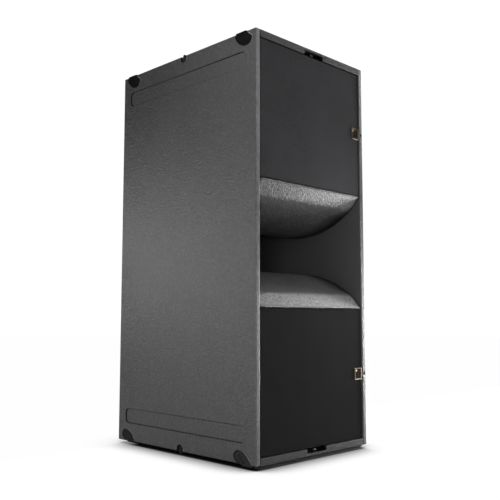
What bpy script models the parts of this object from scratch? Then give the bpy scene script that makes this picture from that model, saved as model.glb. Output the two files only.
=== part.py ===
"""Double 18-inch line array subwoofer cabinet, standing on its short end.

Frame: metres, +Z up. Origin at the centre of the whole footprint (body and runners), on the floor.
The grilles face -Y; the big panel with the open stacking grooves is on -X, the runners on +X.

All dimensions are in millimetres and the cabinet is drawn in body coordinates: x from the left
panel, y from the front edge, z from the bottom end face. place() turns them into the object's
frame. Many depths are measured from the nearest end face; from_end() turns them into z.
"""
import math

import bmesh
import bpy
from mathutils import Matrix, Vector

MM = 0.001

# ------------------------------------------------------------ shared dimensions
WIDTH, DEPTH, LENGTH = 550.0, 700.0, 1340.0   # body, without rails and runners
RAIL_PROUD = 12.0                             # rails stand this far off each end
RUNNER_PROUD = 3.0                            # runners stand this far off the right panel
GAP = 0.3                                     # play between neighbouring pieces
SIDE_T, END_T, REAR_T = 18.0, 23.0, 18.0      # panel thicknesses
OVERCUT = 5.0                                 # usual reach of a cutter past the surface it opens

X_MID = (WIDTH + RUNNER_PROUD) / 2
INNER_X = (SIDE_T + GAP, WIDTH - SIDE_T - GAP)

PIN_X = 150.0                                 # pull pins, from the left panel
BADGE_Z = 245.0                               # badge centre, from the nearest end face
DRIVER_Z = 291.0                              # driver axis, from the nearest end face
DRIVER_SEG = 32                               # facets round the largest driver parts
BAFFLE_Y = 84.0
CONN_Z = 1040.0                               # connector plate centre

ENDS = ("bottom", "top")
SIDES = ("front", "rear")
HALVES = ("lower", "upper")

# look: base colour, roughness, metallic
LOOKS = {
    "paint": ((0.055, 0.055, 0.057), 0.55, 0.0),
    "bare_ply": ((0.42, 0.29, 0.17), 0.7, 0.0),
    "black_steel": ((0.02, 0.02, 0.021), 0.45, 0.8),
    "zinc": ((0.55, 0.55, 0.56), 0.35, 1.0),
    "cloth": ((0.035, 0.036, 0.04), 0.95, 0.0),
    "badge": ((0.72, 0.66, 0.55), 0.3, 0.9),
    "alloy": ((0.12, 0.12, 0.125), 0.5, 0.7),
    "cone": ((0.03, 0.03, 0.03), 0.8, 0.0),
    "foam": ((0.02, 0.02, 0.02), 0.9, 0.0),
    "coil": ((0.45, 0.2, 0.08), 0.4, 0.8),
    "spider": ((0.6, 0.42, 0.15), 0.9, 0.0),
    "ferrite": ((0.09, 0.09, 0.095), 0.5, 0.1),
    "plastic": ((0.02, 0.02, 0.021), 0.5, 0.0),
    "wire": ((0.02, 0.02, 0.02), 0.5, 0.0),
}

for old in list(bpy.data.objects):
    bpy.data.objects.remove(old, do_unlink=True)

parts = bpy.data.collections.new("line_array_subwoofer")
cutters = bpy.data.collections.new("cutters")
for collection in (parts, cutters):
    bpy.context.scene.collection.children.link(collection)


# ------------------------------------------------------------------ coordinates
def place(x, y, z):
    """Body millimetres to the object's frame in metres."""
    return Vector(((x - X_MID) * MM, (y - DEPTH / 2) * MM, (z + RAIL_PROUD) * MM))


def from_end(end, depth):
    """z at a depth from the end face of the named end or half."""
    return depth if end in ("bottom", "lower") else LENGTH - depth


def span(end, depth_a, depth_b):
    """Ascending z range between two depths from an end face."""
    return tuple(sorted((from_end(end, depth_a), from_end(end, depth_b))))


def about(centre, size):
    """Range of the given size centred on a point."""
    return centre - size / 2, centre + size / 2


# --------------------------------------------------------------------- outlines
def arc(x, y, radius, start, stop, steps):
    """Points from one angle to another, in degrees."""
    angles = [math.radians(start + (stop - start) * i / steps) for i in range(steps + 1)]
    return [(x + radius * math.cos(angle), y + radius * math.sin(angle)) for angle in angles]


def circle(x, y, radius, count):
    return arc(x, y, radius, 0, 360 - 360 / count, count - 1)


def rounded_rect(x, y, width, height, radius, steps, grow=0.0):
    """Rounded rectangle centred on (x, y), moved outwards by grow."""
    radius += grow
    x0, x1 = about(x, width + 2 * grow)
    y0, y1 = about(y, height + 2 * grow)
    return (arc(x1 - radius, y0 + radius, radius, -90, 0, steps)
            + arc(x1 - radius, y1 - radius, radius, 0, 90, steps)
            + arc(x0 + radius, y1 - radius, radius, 90, 180, steps)
            + arc(x0 + radius, y0 + radius, radius, 180, 270, steps))


def grown(points, distance):
    """A closed outline moved outwards by a distance."""
    edges = list(zip(points, points[1:] + points[:1]))
    area = sum(x0 * y1 - x1 * y0 for (x0, y0), (x1, y1) in edges)
    turn = math.copysign(1.0, area)
    normals = []
    for (x0, y0), (x1, y1) in edges:
        length = math.hypot(x1 - x0, y1 - y0)
        normals.append((turn * (y1 - y0) / length, -turn * (x1 - x0) / length))
    moved = []
    for (x, y), before, after in zip(points, normals[-1:] + normals[:-1], normals):
        reach = distance / (1.0 + before[0] * after[0] + before[1] * after[1])
        moved.append((x + (before[0] + after[0]) * reach, y + (before[1] + after[1]) * reach))
    return moved


# ---------------------------------------------------------------------- objects
def material(name, look):
    colour, roughness, metallic = LOOKS[look]
    mat = bpy.data.materials.new(name)
    mat.use_nodes = True
    inputs = mat.node_tree.nodes["Principled BSDF"].inputs
    inputs["Base Color"].default_value = (*colour, 1.0)
    inputs["Roughness"].default_value = roughness
    inputs["Metallic"].default_value = metallic
    mat.diffuse_color = (*colour, 1.0)
    return mat


def mesh_object(name, mesh, look):
    """A visible part when it has a look, otherwise a hidden boolean helper."""
    ob = bpy.data.objects.new(name, mesh)
    if look:
        parts.objects.link(ob)
        mesh.materials.append(material("mat_" + name, look))
    else:
        cutters.objects.link(ob)
        ob.hide_render = True
        ob.display_type = "WIRE"
    return ob


def add_bevel(ob, width, segments=2):
    mod = ob.modifiers.new("edges", "BEVEL")
    mod.width = width * MM
    mod.segments = segments
    mod.limit_method = "ANGLE"
    return mod


def boolean(ob, other, operation):
    mod = ob.modifiers.new(operation.lower(), "BOOLEAN")
    mod.operation = operation
    mod.object = other
    mod.solver = "EXACT"


def cut(ob, cutter):
    boolean(ob, cutter, "DIFFERENCE")


def join(ob, added):
    boolean(ob, added, "UNION")


def box(name, x, y, z, look=None, bevel=0.0, segments=2):
    """A block between body coordinates x=(x0, x1), y=(y0, y1), z=(z0, z1)."""
    bm = bmesh.new()
    bmesh.ops.create_cube(bm, size=1.0)
    size = Vector([(high - low) * MM for low, high in (x, y, z)])
    bmesh.ops.scale(bm, vec=size, verts=bm.verts)
    mesh = bpy.data.meshes.new(name)
    bm.to_mesh(mesh)
    bm.free()
    ob = mesh_object(name, mesh, look)
    ob.location = place(*((low + high) / 2 for low, high in (x, y, z)))
    if bevel:
        add_bevel(ob, bevel, segments)
    return ob


def to_mesh(name, curve, look, matrix=Matrix.Identity(4)):
    """A closed mesh object made from curve data placed by a matrix."""
    curve_ob = bpy.data.objects.new(name + "_curve", curve)
    bpy.context.scene.collection.objects.link(curve_ob)
    curve_ob.matrix_world = matrix
    bpy.context.view_layer.update()
    evaluated = curve_ob.evaluated_get(bpy.context.evaluated_depsgraph_get())
    mesh = bpy.data.meshes.new_from_object(evaluated)
    mesh.name = name
    bm = bmesh.new()
    bm.from_mesh(mesh)
    bmesh.ops.remove_doubles(bm, verts=bm.verts, dist=0.00002)
    bmesh.ops.recalc_face_normals(bm, faces=bm.faces)
    bm.to_mesh(mesh)
    bm.free()
    ob = mesh_object(name, mesh, look)
    ob.matrix_world = curve_ob.matrix_world.copy()
    bpy.data.objects.remove(curve_ob, do_unlink=True)
    return ob


AXES = {
    # columns: local x, local y of the drawing plane and its normal
    "X": Matrix(((0, 0, 1), (1, 0, 0), (0, 1, 0))),
    "Y": Matrix(((1, 0, 0), (0, 0, -1), (0, 1, 0))),
    "Z": Matrix(((1, 0, 0), (0, 1, 0), (0, 0, 1))),
}


def prism(name, outlines, plane, start, stop, look=None):
    """Flat outlines swept from start to stop, along an axis or a tilted plane's normal.

    For an axis letter the outlines are in body millimetres: (y, z) for X, (x, z) for Y,
    (x, y) for Z. A tilted plane is (3x3 rotation, origin), with outlines in its own x and y.
    """
    curve = bpy.data.curves.new(name + "_outline", "CURVE")
    curve.dimensions = "2D"
    curve.fill_mode = "BOTH"
    curve.extrude = (stop - start) / 2 * MM
    for outline in outlines:
        spline = curve.splines.new("POLY")
        spline.points.add(len(outline) - 1)
        for point, (x, y) in zip(spline.points, outline):
            point.co = (x * MM, y * MM, 0.0, 1.0)
        spline.use_cyclic_u = True
    middle = (start + stop) / 2
    if plane in ("X", "Y", "Z"):
        rotation = AXES[plane]
        centre = place(*(middle if letter == plane else 0 for letter in "XYZ"))
    else:
        rotation, origin = plane
        centre = place(*origin) + rotation.col[2] * middle * MM
    return to_mesh(name, curve, look, Matrix.Translation(centre) @ rotation.to_4x4())


def taper(name, *sections):
    """Cutter lofted along X between two (x, outline) sections with equal point counts.

    The outlines are (y, z) points."""
    (x_low, outline_low), (x_high, outline_high) = sorted(sections)
    bm = bmesh.new()
    low = [bm.verts.new(place(x_low, y, z)) for y, z in outline_low]
    high = [bm.verts.new(place(x_high, y, z)) for y, z in outline_high]
    bm.faces.new(low)
    bm.faces.new(list(reversed(high)))
    for i in range(len(low)):
        j = (i + 1) % len(low)
        bm.faces.new((low[j], low[i], high[i], high[j]))
    bmesh.ops.triangulate(bm, faces=[face for face in bm.faces if len(face.verts) > 4])
    bmesh.ops.recalc_face_normals(bm, faces=bm.faces)
    mesh = bpy.data.meshes.new(name)
    bm.to_mesh(mesh)
    bm.free()
    return mesh_object(name, mesh, None)


def turned(name, profile, axis_at, look, steps):
    """A piece turned about an axis along Y.

    The profile is (radius, height), height towards the front, running down the outer
    side; it is a closed loop, or it starts and ends on the axis."""
    count = len(profile)
    edges = [(i, i + 1) for i in range(count - 1)]
    on_axis = profile[0][0] == 0 and profile[-1][0] == 0
    if not on_axis:
        edges.append((count - 1, 0))
    mesh = bpy.data.meshes.new(name)
    mesh.from_pydata([(radius * MM, 0.0, height * MM) for radius, height in profile], edges, [])
    ob = mesh_object(name, mesh, look)
    ob.location = place(*axis_at)
    ob.rotation_euler = (math.radians(90), 0, 0)
    mod = ob.modifiers.new("turn", "SCREW")
    mod.axis = "Z"
    mod.angle = math.radians(360)
    mod.steps = steps
    mod.render_steps = steps
    mod.use_merge_vertices = True
    mod.merge_threshold = 0.00005
    mod.use_smooth_shade = True
    return ob


# ------------------------------------------------- rail section and its pockets
# rail sections: distance forward of the rail's rearmost line, depth from the end face
RAIL_SECTION = {
    "bottom": [
        (52, -12), (44, -7), (30, -1), (18, 5), (10, 10), (3.5, 15), (0.5, 19), (0, 23),
        (1.5, 28), (5.5, 33), (11, 36.3), (18, 38), (27, 37.5), (36, 35), (45, 30.8),
        (53, 24.5), (60, 17), (67, 8.5), (73, 1.5), (78, -4.5), (84, -12)],
    "top": [
        (0, -12), (0.5, 6), (3, 13), (7, 20), (13, 27.5), (20, 33.5), (29, 39), (39, 43.3),
        (49, 45), (58, 43.3), (65, 38.5), (69.5, 32), (71.5, 25.5), (71, 20), (64, 15),
        (56, 8.5), (50, 2.5), (36, -12)],
}
RAIL_Y = {                                    # rearmost line of each rail
    ("bottom", "front"): 93.0, ("bottom", "rear"): 674.0,
    ("top", "front"): 91.5, ("top", "rear"): 676.0,
}
RAIL_PLAY = 0.5                               # play round a rail in its pocket
POCKET_OVERRUN = 6.0                          # pocket cutters run past the standing face
RIM_CHAMFER = 2.4                             # eased rim of the pockets in the side panels
RIM_OUT = -1.0                                # depths between which the rim cutters run
RIM_IN = RIM_CHAMFER + 0.4
RIM_OVERRUN = {RIM_OUT: 7.0, RIM_IN: 5.0}     # past the rails' standing faces, at each depth

GUIDE_Y, GUIDE_W, GUIDE_DEPTH = 350.0, 26.0, 22.0   # round-ended slot of the centre guide
GUIDE_CUT_X1 = 62.0
GUIDE_OVERCUT = 2.0


def rail_outline(end, side, grow=0.0, overrun=0.0):
    """Rail section in body (y, z); overrun carries it past the standing face."""
    points = grown(RAIL_SECTION[end], grow)
    face = -RAIL_PROUD - overrun
    points[0], points[-1] = (points[0][0], face), (points[-1][0], face)
    return [(RAIL_Y[end, side] - forward, from_end(end, depth)) for forward, depth in points]


def guide_cut_outline(end, grow=0.0):
    radius = GUIDE_W / 2 + grow
    mouth = -GUIDE_OVERCUT - grow
    points = ([(GUIDE_Y - radius, mouth)]
              + arc(GUIDE_Y, GUIDE_DEPTH - GUIDE_W / 2, radius, 180, 0, 8)
              + [(GUIDE_Y + radius, mouth)])
    return [(y, from_end(end, depth)) for y, depth in points]


rail_cuts = {
    (end, side): prism(f"cut_rail_{end}_{side}",
                       [rail_outline(end, side, RAIL_PLAY, POCKET_OVERRUN)],
                       "X", -OVERCUT, WIDTH + OVERCUT)
    for end in ENDS for side in SIDES}
guide_cuts = {
    end: prism(f"cut_guide_{end}", [guide_cut_outline(end)], "X", -OVERCUT, GUIDE_CUT_X1)
    for end in ENDS}

# ------------------------------------------------------ side panels and runners
EDGE_R = 3.0                                  # rounded cabinet edges
GROOVE_Z = 89.0                               # groove axis, from the nearest end face
GROOVE_L, GROOVE_H, GROOVE_D = 612.0, 49.0, 3.0
GROOVE_R = 16.0                               # corner radius of the stacking grooves
GROOVE_DRAFT = 1.4                            # the groove widens this much from floor to face
GROOVE_OVERCUT = 2.0
RUNNER_PLAY = 0.4
RUNNER_BEVEL = 1.2
DENT_X, DENT_R, DENT_D = 541.0, 7.0, 3.5      # screw recesses beside the badges


def groove_outline(end, grow):
    return rounded_rect(DEPTH / 2, from_end(end, GROOVE_Z), GROOVE_L, GROOVE_H, GROOVE_R,
                        5, grow)


def side_panel(name, face_x, inward):
    """Side panel whose outer face is at face_x; inward is the sign of x into the body."""
    def at(depth):
        return face_x + inward * depth

    panel = box(f"side_panel_{name}", tuple(sorted((at(0), at(SIDE_T)))), (0, DEPTH),
                (0, LENGTH), "paint", EDGE_R)
    widening = GROOVE_DRAFT * (1.0 + GROOVE_OVERCUT / GROOVE_D)
    for end in ENDS:
        cut(panel, taper(f"cut_groove_{name}_{end}",
                         (at(-GROOVE_OVERCUT), groove_outline(end, widening)),
                         (at(GROOVE_D), groove_outline(end, 0.0))))
    for (end, side), pocket in rail_cuts.items():
        cut(panel, pocket)
        rim = [(at(depth), rail_outline(end, side, RAIL_PLAY + RIM_CHAMFER - depth, overrun))
               for depth, overrun in RIM_OVERRUN.items()]
        cut(panel, taper(f"cut_rim_{name}_{end}_{side}", *rim))
    return panel


def guide_pockets(panel):
    for end, pocket in guide_cuts.items():
        cut(panel, pocket)
        rim = [(depth, guide_cut_outline(end, RIM_CHAMFER - depth))
               for depth in (RIM_OUT, RIM_IN)]
        cut(panel, taper(f"cut_rim_guide_{end}", *rim))


def screw_dents(panel):
    for end in ENDS:
        ring = circle(DENT_X, from_end(end, BADGE_Z), DENT_R, 12)
        cut(panel, prism(f"cut_dent_{end}", [ring], "Y", -OVERCUT, DENT_D))


def stacking_runner(end):
    """Runner set in the right panel's groove."""
    runner = prism(f"stacking_runner_{end}", [groove_outline(end, -RUNNER_PLAY)], "X",
                   WIDTH - GROOVE_D + GAP, WIDTH + RUNNER_PROUD, "plastic")
    add_bevel(runner, RUNNER_BEVEL).angle_limit = math.radians(50)


# ---------------------------------------------------- end panels and their parts
BLOCK_Y0, BLOCK_Y1 = 12.0, 108.0              # rail blocks, from the nearest long edge
BLOCK_DEPTHS = (10.0, 58.0)
BLOCK_PLAY = 0.5                              # to the rear panel and the baffles

PIN_POCKET_W = 52.0
PIN_POCKET_DEPTHS = (-3.0, 22.5)
PIN_POCKET_Y = {
    ("bottom", "front"): (64, 104), ("bottom", "rear"): (DEPTH - 52, DEPTH - 10),
    ("top", "front"): (10, 52), ("top", "rear"): (DEPTH - 104, DEPTH - 64),
}

CATCH_X, CATCH_W, CATCH_H, CATCH_D = 280.0, 96.0, 14.0, 17.0   # recess of the grille catch
CATCH_OVERCUT = 4.0
CATCH_SIDE_PLAY, CATCH_INSET = 0.5, 1.0
CATCH_Y0, CATCH_BEVEL = 9.0, 0.8

GUIDE_LUG_X = (2.0, 61.5)
GUIDE_LUG_R, GUIDE_LUG_PROUD = 6.2, 5.0

HANDLE_L, HANDLE_W, HANDLE_R = 200.0, 100.0, 18.0   # opening in the end panel
HANDLE_PLAY, HANDLE_WALL = 0.4, 4.0           # dish outside and inside, in from the opening
HANDLE_RIM, HANDLE_DEPTH = 0.5, 62.0
HANDLE_OVERCUT, DISH_OVERCUT = 3.0, 2.0
BAR_R, BAR_DEPTH, BAR_INSET = 11.0, 18.0, 2.0


def end_panel(end):
    panel = box(f"end_panel_{end}", INNER_X, (0, DEPTH), span(end, 0, END_T), "paint",
                bevel=2.0, segments=1)
    block_y = {"front": (BLOCK_Y0, BLOCK_Y1),
               "rear": (DEPTH - BLOCK_Y1, DEPTH - REAR_T - BLOCK_PLAY)}
    for side in SIDES:
        join(panel, box(f"add_block_{end}_{side}", INNER_X, block_y[side],
                        span(end, *BLOCK_DEPTHS)))
    for side in SIDES:
        cut(panel, rail_cuts[end, side])
        cut(panel, box(f"cut_pin_pocket_{end}_{side}", about(PIN_X, PIN_POCKET_W),
                       PIN_POCKET_Y[end, side], span(end, *PIN_POCKET_DEPTHS)))
    cut(panel, guide_cuts[end])
    cut(panel, prism(f"cut_handle_{end}", [handle_outline(0.0)], "Z",
                     *span(end, -HANDLE_OVERCUT, END_T + OVERCUT)))
    cut(panel, box(f"cut_catch_{end}", about(CATCH_X, CATCH_W), (-CATCH_OVERCUT, CATCH_D),
                   span(end, END_T - CATCH_H, END_T + CATCH_OVERCUT)))


def grille_catch(end):
    """Catch block for the grille, in its recess."""
    box(f"grille_catch_{end}", about(CATCH_X, CATCH_W - 2 * CATCH_SIDE_PLAY),
        (CATCH_Y0, CATCH_D - GAP), span(end, END_T - CATCH_H + GAP, END_T - CATCH_INSET),
        "plastic", CATCH_BEVEL, segments=1)


def centre_guide(end):
    """Round-ended lug in the guide slot."""
    radius = GUIDE_LUG_R
    points = (arc(GUIDE_Y, radius - GUIDE_LUG_PROUD, radius, 180, 360, 8)
              + arc(GUIDE_Y, GUIDE_DEPTH - GAP - radius, radius, 0, 180, 8))
    outline = [(y, from_end(end, depth)) for y, depth in points]
    prism(f"centre_guide_{end}", [outline], "X", *GUIDE_LUG_X, "black_steel")


def handle_outline(inset):
    return rounded_rect(WIDTH / 2, DEPTH / 2, HANDLE_W, HANDLE_L, HANDLE_R, 4, -inset)


def handle(end):
    """Recessed handle: open dish with a bar across it."""
    dish = prism(f"handle_dish_{end}", [handle_outline(HANDLE_PLAY)], "Z",
                 *span(end, HANDLE_RIM, HANDLE_DEPTH), "plastic")
    cut(dish, prism(f"cut_dish_{end}", [handle_outline(HANDLE_WALL)], "Z",
                    *span(end, -DISH_OVERCUT, HANDLE_DEPTH - HANDLE_WALL)))
    bar = circle(WIDTH / 2, from_end(end, BAR_DEPTH), BAR_R, 12)
    join(dish, prism(f"add_bar_{end}", [bar], "Y", *about(DEPTH / 2, HANDLE_L - 2 * BAR_INSET)))


# --------------------------------------------------------------------- vent lips
LIP_Z = 470.0          # grille edge of the lower vent lip (mirrored for the upper)
LIP_T = 20.0
LIP_END_Y = 306.0      # bullnosed inner end of the lip board
LIP_EDGE = (2.0, 3.0)  # front edge: y, height above LIP_Z
LIP_NOSE = (37.0, 46.5)  # the flat raked nose runs to this crease
LIP_ARC_R, LIP_ARC_Y, LIP_H = 362.0, 268.0, 130.0
LIP_FOOT = 1.0         # height of the board's underside at the front
# y stations: vent side of the nose, then the chamber side from back to front
LIP_NOSE_Y = [2, 10, 19, 28, 37]
LIP_UNDER_Y = [268, 220, 180, 145, 115, 84, 60, 44, 32]
LIP_FOOT_Y = [18, 2]


def lip_height(y):
    """Height of the vent lip's surface above the grille edge at depth y."""
    edge_y, edge_height = LIP_EDGE
    nose_y, nose_height = LIP_NOSE
    if y <= nose_y:
        return edge_height + (y - edge_y) * (nose_height - edge_height) / (nose_y - edge_y)
    if y >= LIP_ARC_Y:
        return LIP_H

    def drop(run):
        return LIP_ARC_R - math.sqrt(LIP_ARC_R ** 2 - run * run)

    # the arc's drop is scaled so that it meets the crease
    scale = (LIP_H - nose_height) / drop(LIP_ARC_Y - nose_y)
    return LIP_H - scale * drop(LIP_ARC_Y - y)


def vent_lip(half):
    nose_y = LIP_NOSE[0]
    vent_y = LIP_NOSE_Y + [nose_y + (LIP_ARC_Y - nose_y) * i / 9 for i in range(1, 10)]
    radius = LIP_T / 2
    points = [(y, LIP_Z + lip_height(y)) for y in vent_y]
    points += arc(LIP_END_Y - radius, LIP_Z + LIP_H - radius, radius, 90, -90, 8)
    points += [(y, LIP_Z + lip_height(y) - LIP_T) for y in LIP_UNDER_Y]
    points += [(y, LIP_Z + LIP_FOOT) for y in LIP_FOOT_Y]
    outline = [(y, from_end(half, depth)) for y, depth in points]
    prism(f"vent_lip_{half}", [outline], "X", *INNER_X, "paint")


# ------------------------------------------------------------ baffles and shelves
BAFFLE_T, BAFFLE_HOLE_R = 22.0, 212.5
BAFFLE_LIP_PLAY = 0.6
SHELF_Y0, SHELF_DEPTHS = 470.0, (420.0, 438.0)
SHELF_HOLE_EDGE = 120.0                       # window edge, from each side of the body
SHELF_HOLE_Y = (520.0, 640.0)
SHELF_HOLE_R, SHELF_HOLE_DEPTHS = 40.0, (410.0, 450.0)


def baffle(half):
    top = LIP_Z + lip_height(BAFFLE_Y) - LIP_T - BAFFLE_LIP_PLAY
    board = box(f"baffle_{half}", INNER_X, (BAFFLE_Y, BAFFLE_Y + BAFFLE_T),
                span(half, BLOCK_DEPTHS[1] + BLOCK_PLAY, top), "bare_ply")
    hole = circle(WIDTH / 2, from_end(half, DRIVER_Z), BAFFLE_HOLE_R, DRIVER_SEG)
    cut(board, prism(f"cut_driver_{half}", [hole], "Y", BAFFLE_Y - OVERCUT,
                     BAFFLE_Y + BAFFLE_T + OVERCUT))


def brace_shelf(half):
    shelf = box(f"brace_shelf_{half}", INNER_X, (SHELF_Y0, DEPTH - REAR_T - GAP),
                span(half, *SHELF_DEPTHS), "bare_ply")
    y0, y1 = SHELF_HOLE_Y
    window = rounded_rect(WIDTH / 2, (y0 + y1) / 2, WIDTH - 2 * SHELF_HOLE_EDGE, y1 - y0,
                          SHELF_HOLE_R, 3)
    cut(shelf, prism(f"cut_shelf_{half}", [window], "Z", *span(half, *SHELF_HOLE_DEPTHS)))


# ----------------------------------------------------------------------- grilles
GRILLE_X0 = 20.5
GRILLE_X1 = WIDTH - GRILLE_X0
GRILLE_DEPTHS = (24.5, 467.5)
GRILLE_COLUMNS, GRILLE_ROWS, GRILLE_WEB = 5, 4, 16.0
CLOTH_Y0, CLOTH_T = 4.0, 3.5
PLATE_Y0, PLATE_T = 8.0, 1.5
BADGE_X, BADGE, BADGE_T = 510.0, 40.0, 1.9


def grille_plate(half):
    """Plate with a grid of rectangular openings."""
    z0, z1 = span(half, *GRILLE_DEPTHS)
    web = GRILLE_WEB
    width = (GRILLE_X1 - GRILLE_X0 - web * (GRILLE_COLUMNS + 1)) / GRILLE_COLUMNS
    height = (z1 - z0 - web * (GRILLE_ROWS + 1)) / GRILLE_ROWS
    outlines = [[(GRILLE_X0, z0), (GRILLE_X1, z0), (GRILLE_X1, z1), (GRILLE_X0, z1)]]
    for column in range(GRILLE_COLUMNS):
        for row in range(GRILLE_ROWS):
            x = GRILLE_X0 + web + column * (width + web)
            z = z0 + web + row * (height + web)
            outlines.append([(x, z), (x, z + height), (x + width, z + height), (x + width, z)])
    prism(f"grille_plate_{half}", outlines, "Y", PLATE_Y0, PLATE_Y0 + PLATE_T, "black_steel")


def grille_cloth(half):
    box(f"grille_cloth_{half}", (GRILLE_X0, GRILLE_X1), (CLOTH_Y0, CLOTH_Y0 + CLOTH_T),
        span(half, *GRILLE_DEPTHS), "cloth")


def grille_badge(half):
    back = CLOTH_Y0 - GAP
    box(f"grille_badge_{half}", about(BADGE_X, BADGE), (back - BADGE_T, back),
        about(from_end(half, BADGE_Z), BADGE), "badge", bevel=0.5, segments=1)


# ----------------------------------------------------------------- rigging rails
RAIL_INSET = 1.0                              # rail ends, in from the side panels' faces
RAIL_RAMP, RAIL_RAMP_H = 31.0, 8.8            # the standing face slopes back to both sides
RAMP_OVERCUT, RAMP_CUT_W = 5.0, 140.0
# axis of the link arms: distance forward and depth, as in the rail sections
RAIL_CORE = {"bottom": (24.0, 20.0), "top": (48.5, 22.0)}
# link arm, in the rail's tilted (x, s) plane
ARM_S0, ARM_S1, ARM_T, ARM_L = -8.5, 22.0, 12.0, 250.0
ARM_PLAY = 0.5
ARM_NOSE_R = 4.0
ARM_TRAVEL = 75.0
LINK_HOLE_X, LINK_HOLE_R = 27.0, 8.0
CHANNEL_OVERCUT = 6.0
PIN_S, PIN_R = 4.0, 5.0
PIN_PLAY, PIN_SLOT_PLAY = 0.15, 0.7
PIN_SPAN, PIN_BORE, KNOB_SPAN = (-5.5, 24.0), (0.0, 40.0), (19.0, 29.0)
KNOB_R = 10.0


def rail_frame(end, side):
    """Tilted plane of a rail's link arm: columns x, s and t.

    s slopes towards the end face; the pull pin comes out along t."""
    forward, depth = RAIL_CORE[end]
    k = -math.sqrt(0.5) if end == "bottom" else math.sqrt(0.5)
    rotation = Matrix(((1, 0, 0), (0, k, -k), (0, k, k)))
    return rotation, (0.0, RAIL_Y[end, side] - forward, from_end(end, depth))


def rigging_rail(end, side, frame):
    tag = f"{end}_{side}"
    axis_y = frame[1][1]
    rail = prism(f"rigging_rail_{tag}", [rail_outline(end, side)], "X", RAIL_INSET,
                 WIDTH - RAIL_INSET, "black_steel")
    rise = RAMP_OVERCUT * RAIL_RAMP_H / RAIL_RAMP
    inner_z = from_end(end, RAIL_RAMP_H + rise - RAIL_PROUD)
    outer_z = from_end(end, -RAIL_PROUD - rise)
    for letter, x, inward in (("l", RAIL_INSET, 1), ("r", WIDTH - RAIL_INSET, -1)):
        outer_x = x - inward * RAMP_OVERCUT
        triangle = [(outer_x, inner_z), (x + inward * (RAIL_RAMP + RAMP_OVERCUT), outer_z),
                    (outer_x, outer_z)]
        cut(rail, prism(f"cut_rail_chamfer_{tag}_{letter}", [triangle], "Y",
                        *about(axis_y, RAMP_CUT_W)))
    x0, x1 = -CHANNEL_OVERCUT, WIDTH + CHANNEL_OVERCUT
    s0, s1 = ARM_S0 - ARM_PLAY, ARM_S1 + ARM_PLAY
    channel = [(x0, s0), (x1, s0), (x1, s1), (x0, s1)]
    cut(rail, prism(f"cut_channel_{tag}", [channel], frame, *about(0.0, ARM_T + 2 * ARM_PLAY)))
    bore = circle(PIN_X, PIN_S, PIN_R + PIN_PLAY, 16)
    cut(rail, prism(f"cut_pin_{tag}", [bore], frame, *PIN_BORE))


def link_arm(tag, frame):
    """Captive arm, its nose flush with the rail's end, with a link hole and a pin slot."""
    nose_x = RAIL_INSET + ARM_NOSE_R
    arm = (arc(nose_x, ARM_S1 - ARM_NOSE_R, ARM_NOSE_R, 90, 180, 3)
           + arc(nose_x, ARM_S0 + ARM_NOSE_R, ARM_NOSE_R, 180, 270, 3)
           + [(ARM_L, ARM_S0), (ARM_L, ARM_S1)])
    hole = circle(LINK_HOLE_X, (ARM_S0 + ARM_S1) / 2, LINK_HOLE_R, 14)[::-1]
    slot_r = PIN_R + PIN_SLOT_PLAY
    slot = (arc(PIN_X + ARM_TRAVEL, PIN_S, slot_r, -90, 90, 6)
            + arc(PIN_X, PIN_S, slot_r, 90, 270, 6))[::-1]
    prism(f"link_arm_{tag}", [arm, hole, slot], frame, *about(0.0, ARM_T), "zinc")


def pull_pin(tag, frame):
    """Shaft through the rail's wall into the slot, with a knob outside."""
    pin = prism(f"pull_pin_{tag}", [circle(PIN_X, PIN_S, PIN_R, 16)], frame, *PIN_SPAN, "zinc")
    knob = circle(PIN_X, PIN_S, KNOB_R, 16)
    join(pin, prism(f"add_knob_{tag}", [knob], frame, *KNOB_SPAN))


# ----------------------------------------------------------------------- drivers
# profiles: radius, height in front of the baffle's front face
BASKET = [
    (229.5, 10), (229.5, 0.3), (211.5, 0.3), (208, -22), (128, -96), (124, -134), (62, -134),
    (62, -126), (116, -126), (116, -104), (119, -94), (199, -20), (203, 2), (203, 10)]
CONE = [
    (184, 9.5), (184, 7.5), (178, 4.5), (120, -32), (60, -66), (58.2, -62), (118, -28.5),
    (177, 8.0)]
DUST_CAP = [
    (0, 1.5), (32, -2.5), (60, -15), (84, -43.5), (82, -45), (58, -17.5), (30, -5), (0, -1)]
VOICE_COIL = [(57.6, -60), (57.6, -158), (56.2, -158), (56.2, -60)]
TOP_PLATE = [(100, -134.3), (100, -146), (59.6, -146), (59.6, -134.3)]
MAGNET = [(110, -146.3), (110, -172), (66, -172), (66, -146.3)]
T_YOKE = [
    (0, -134), (54.6, -134), (54.6, -172.3), (106, -172.3), (106, -183), (100, -186), (0, -186)]

WINDOW_COUNT, WINDOW_START = 6, 30            # openings in the basket; first one's angle
WINDOW_SIZE = (130.0, 52.0, 118.0)            # radial, along the axis, tangential
WINDOW_R, WINDOW_BACK = 172.0, 56.0           # centre, from the axis and behind the baffle face

ROLL_R, ROLL_HEIGHT, ROLL_RADIUS, ROLL_T = 195.5, 11.5, 9.5, 1.5   # surround's half roll
LANDING_R = (176, 222)                        # inner and outer edge of the surround
LANDING_HEIGHTS = (10.4, 12.0)                # underside and top of its landings

SPIDER_R0, SPIDER_R1, SPIDER_HEIGHT = 58.3, 115.6, -100.0
SPIDER_FOLDS, SPIDER_WAVE, SPIDER_T = 7, 2.6, 1.2


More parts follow.
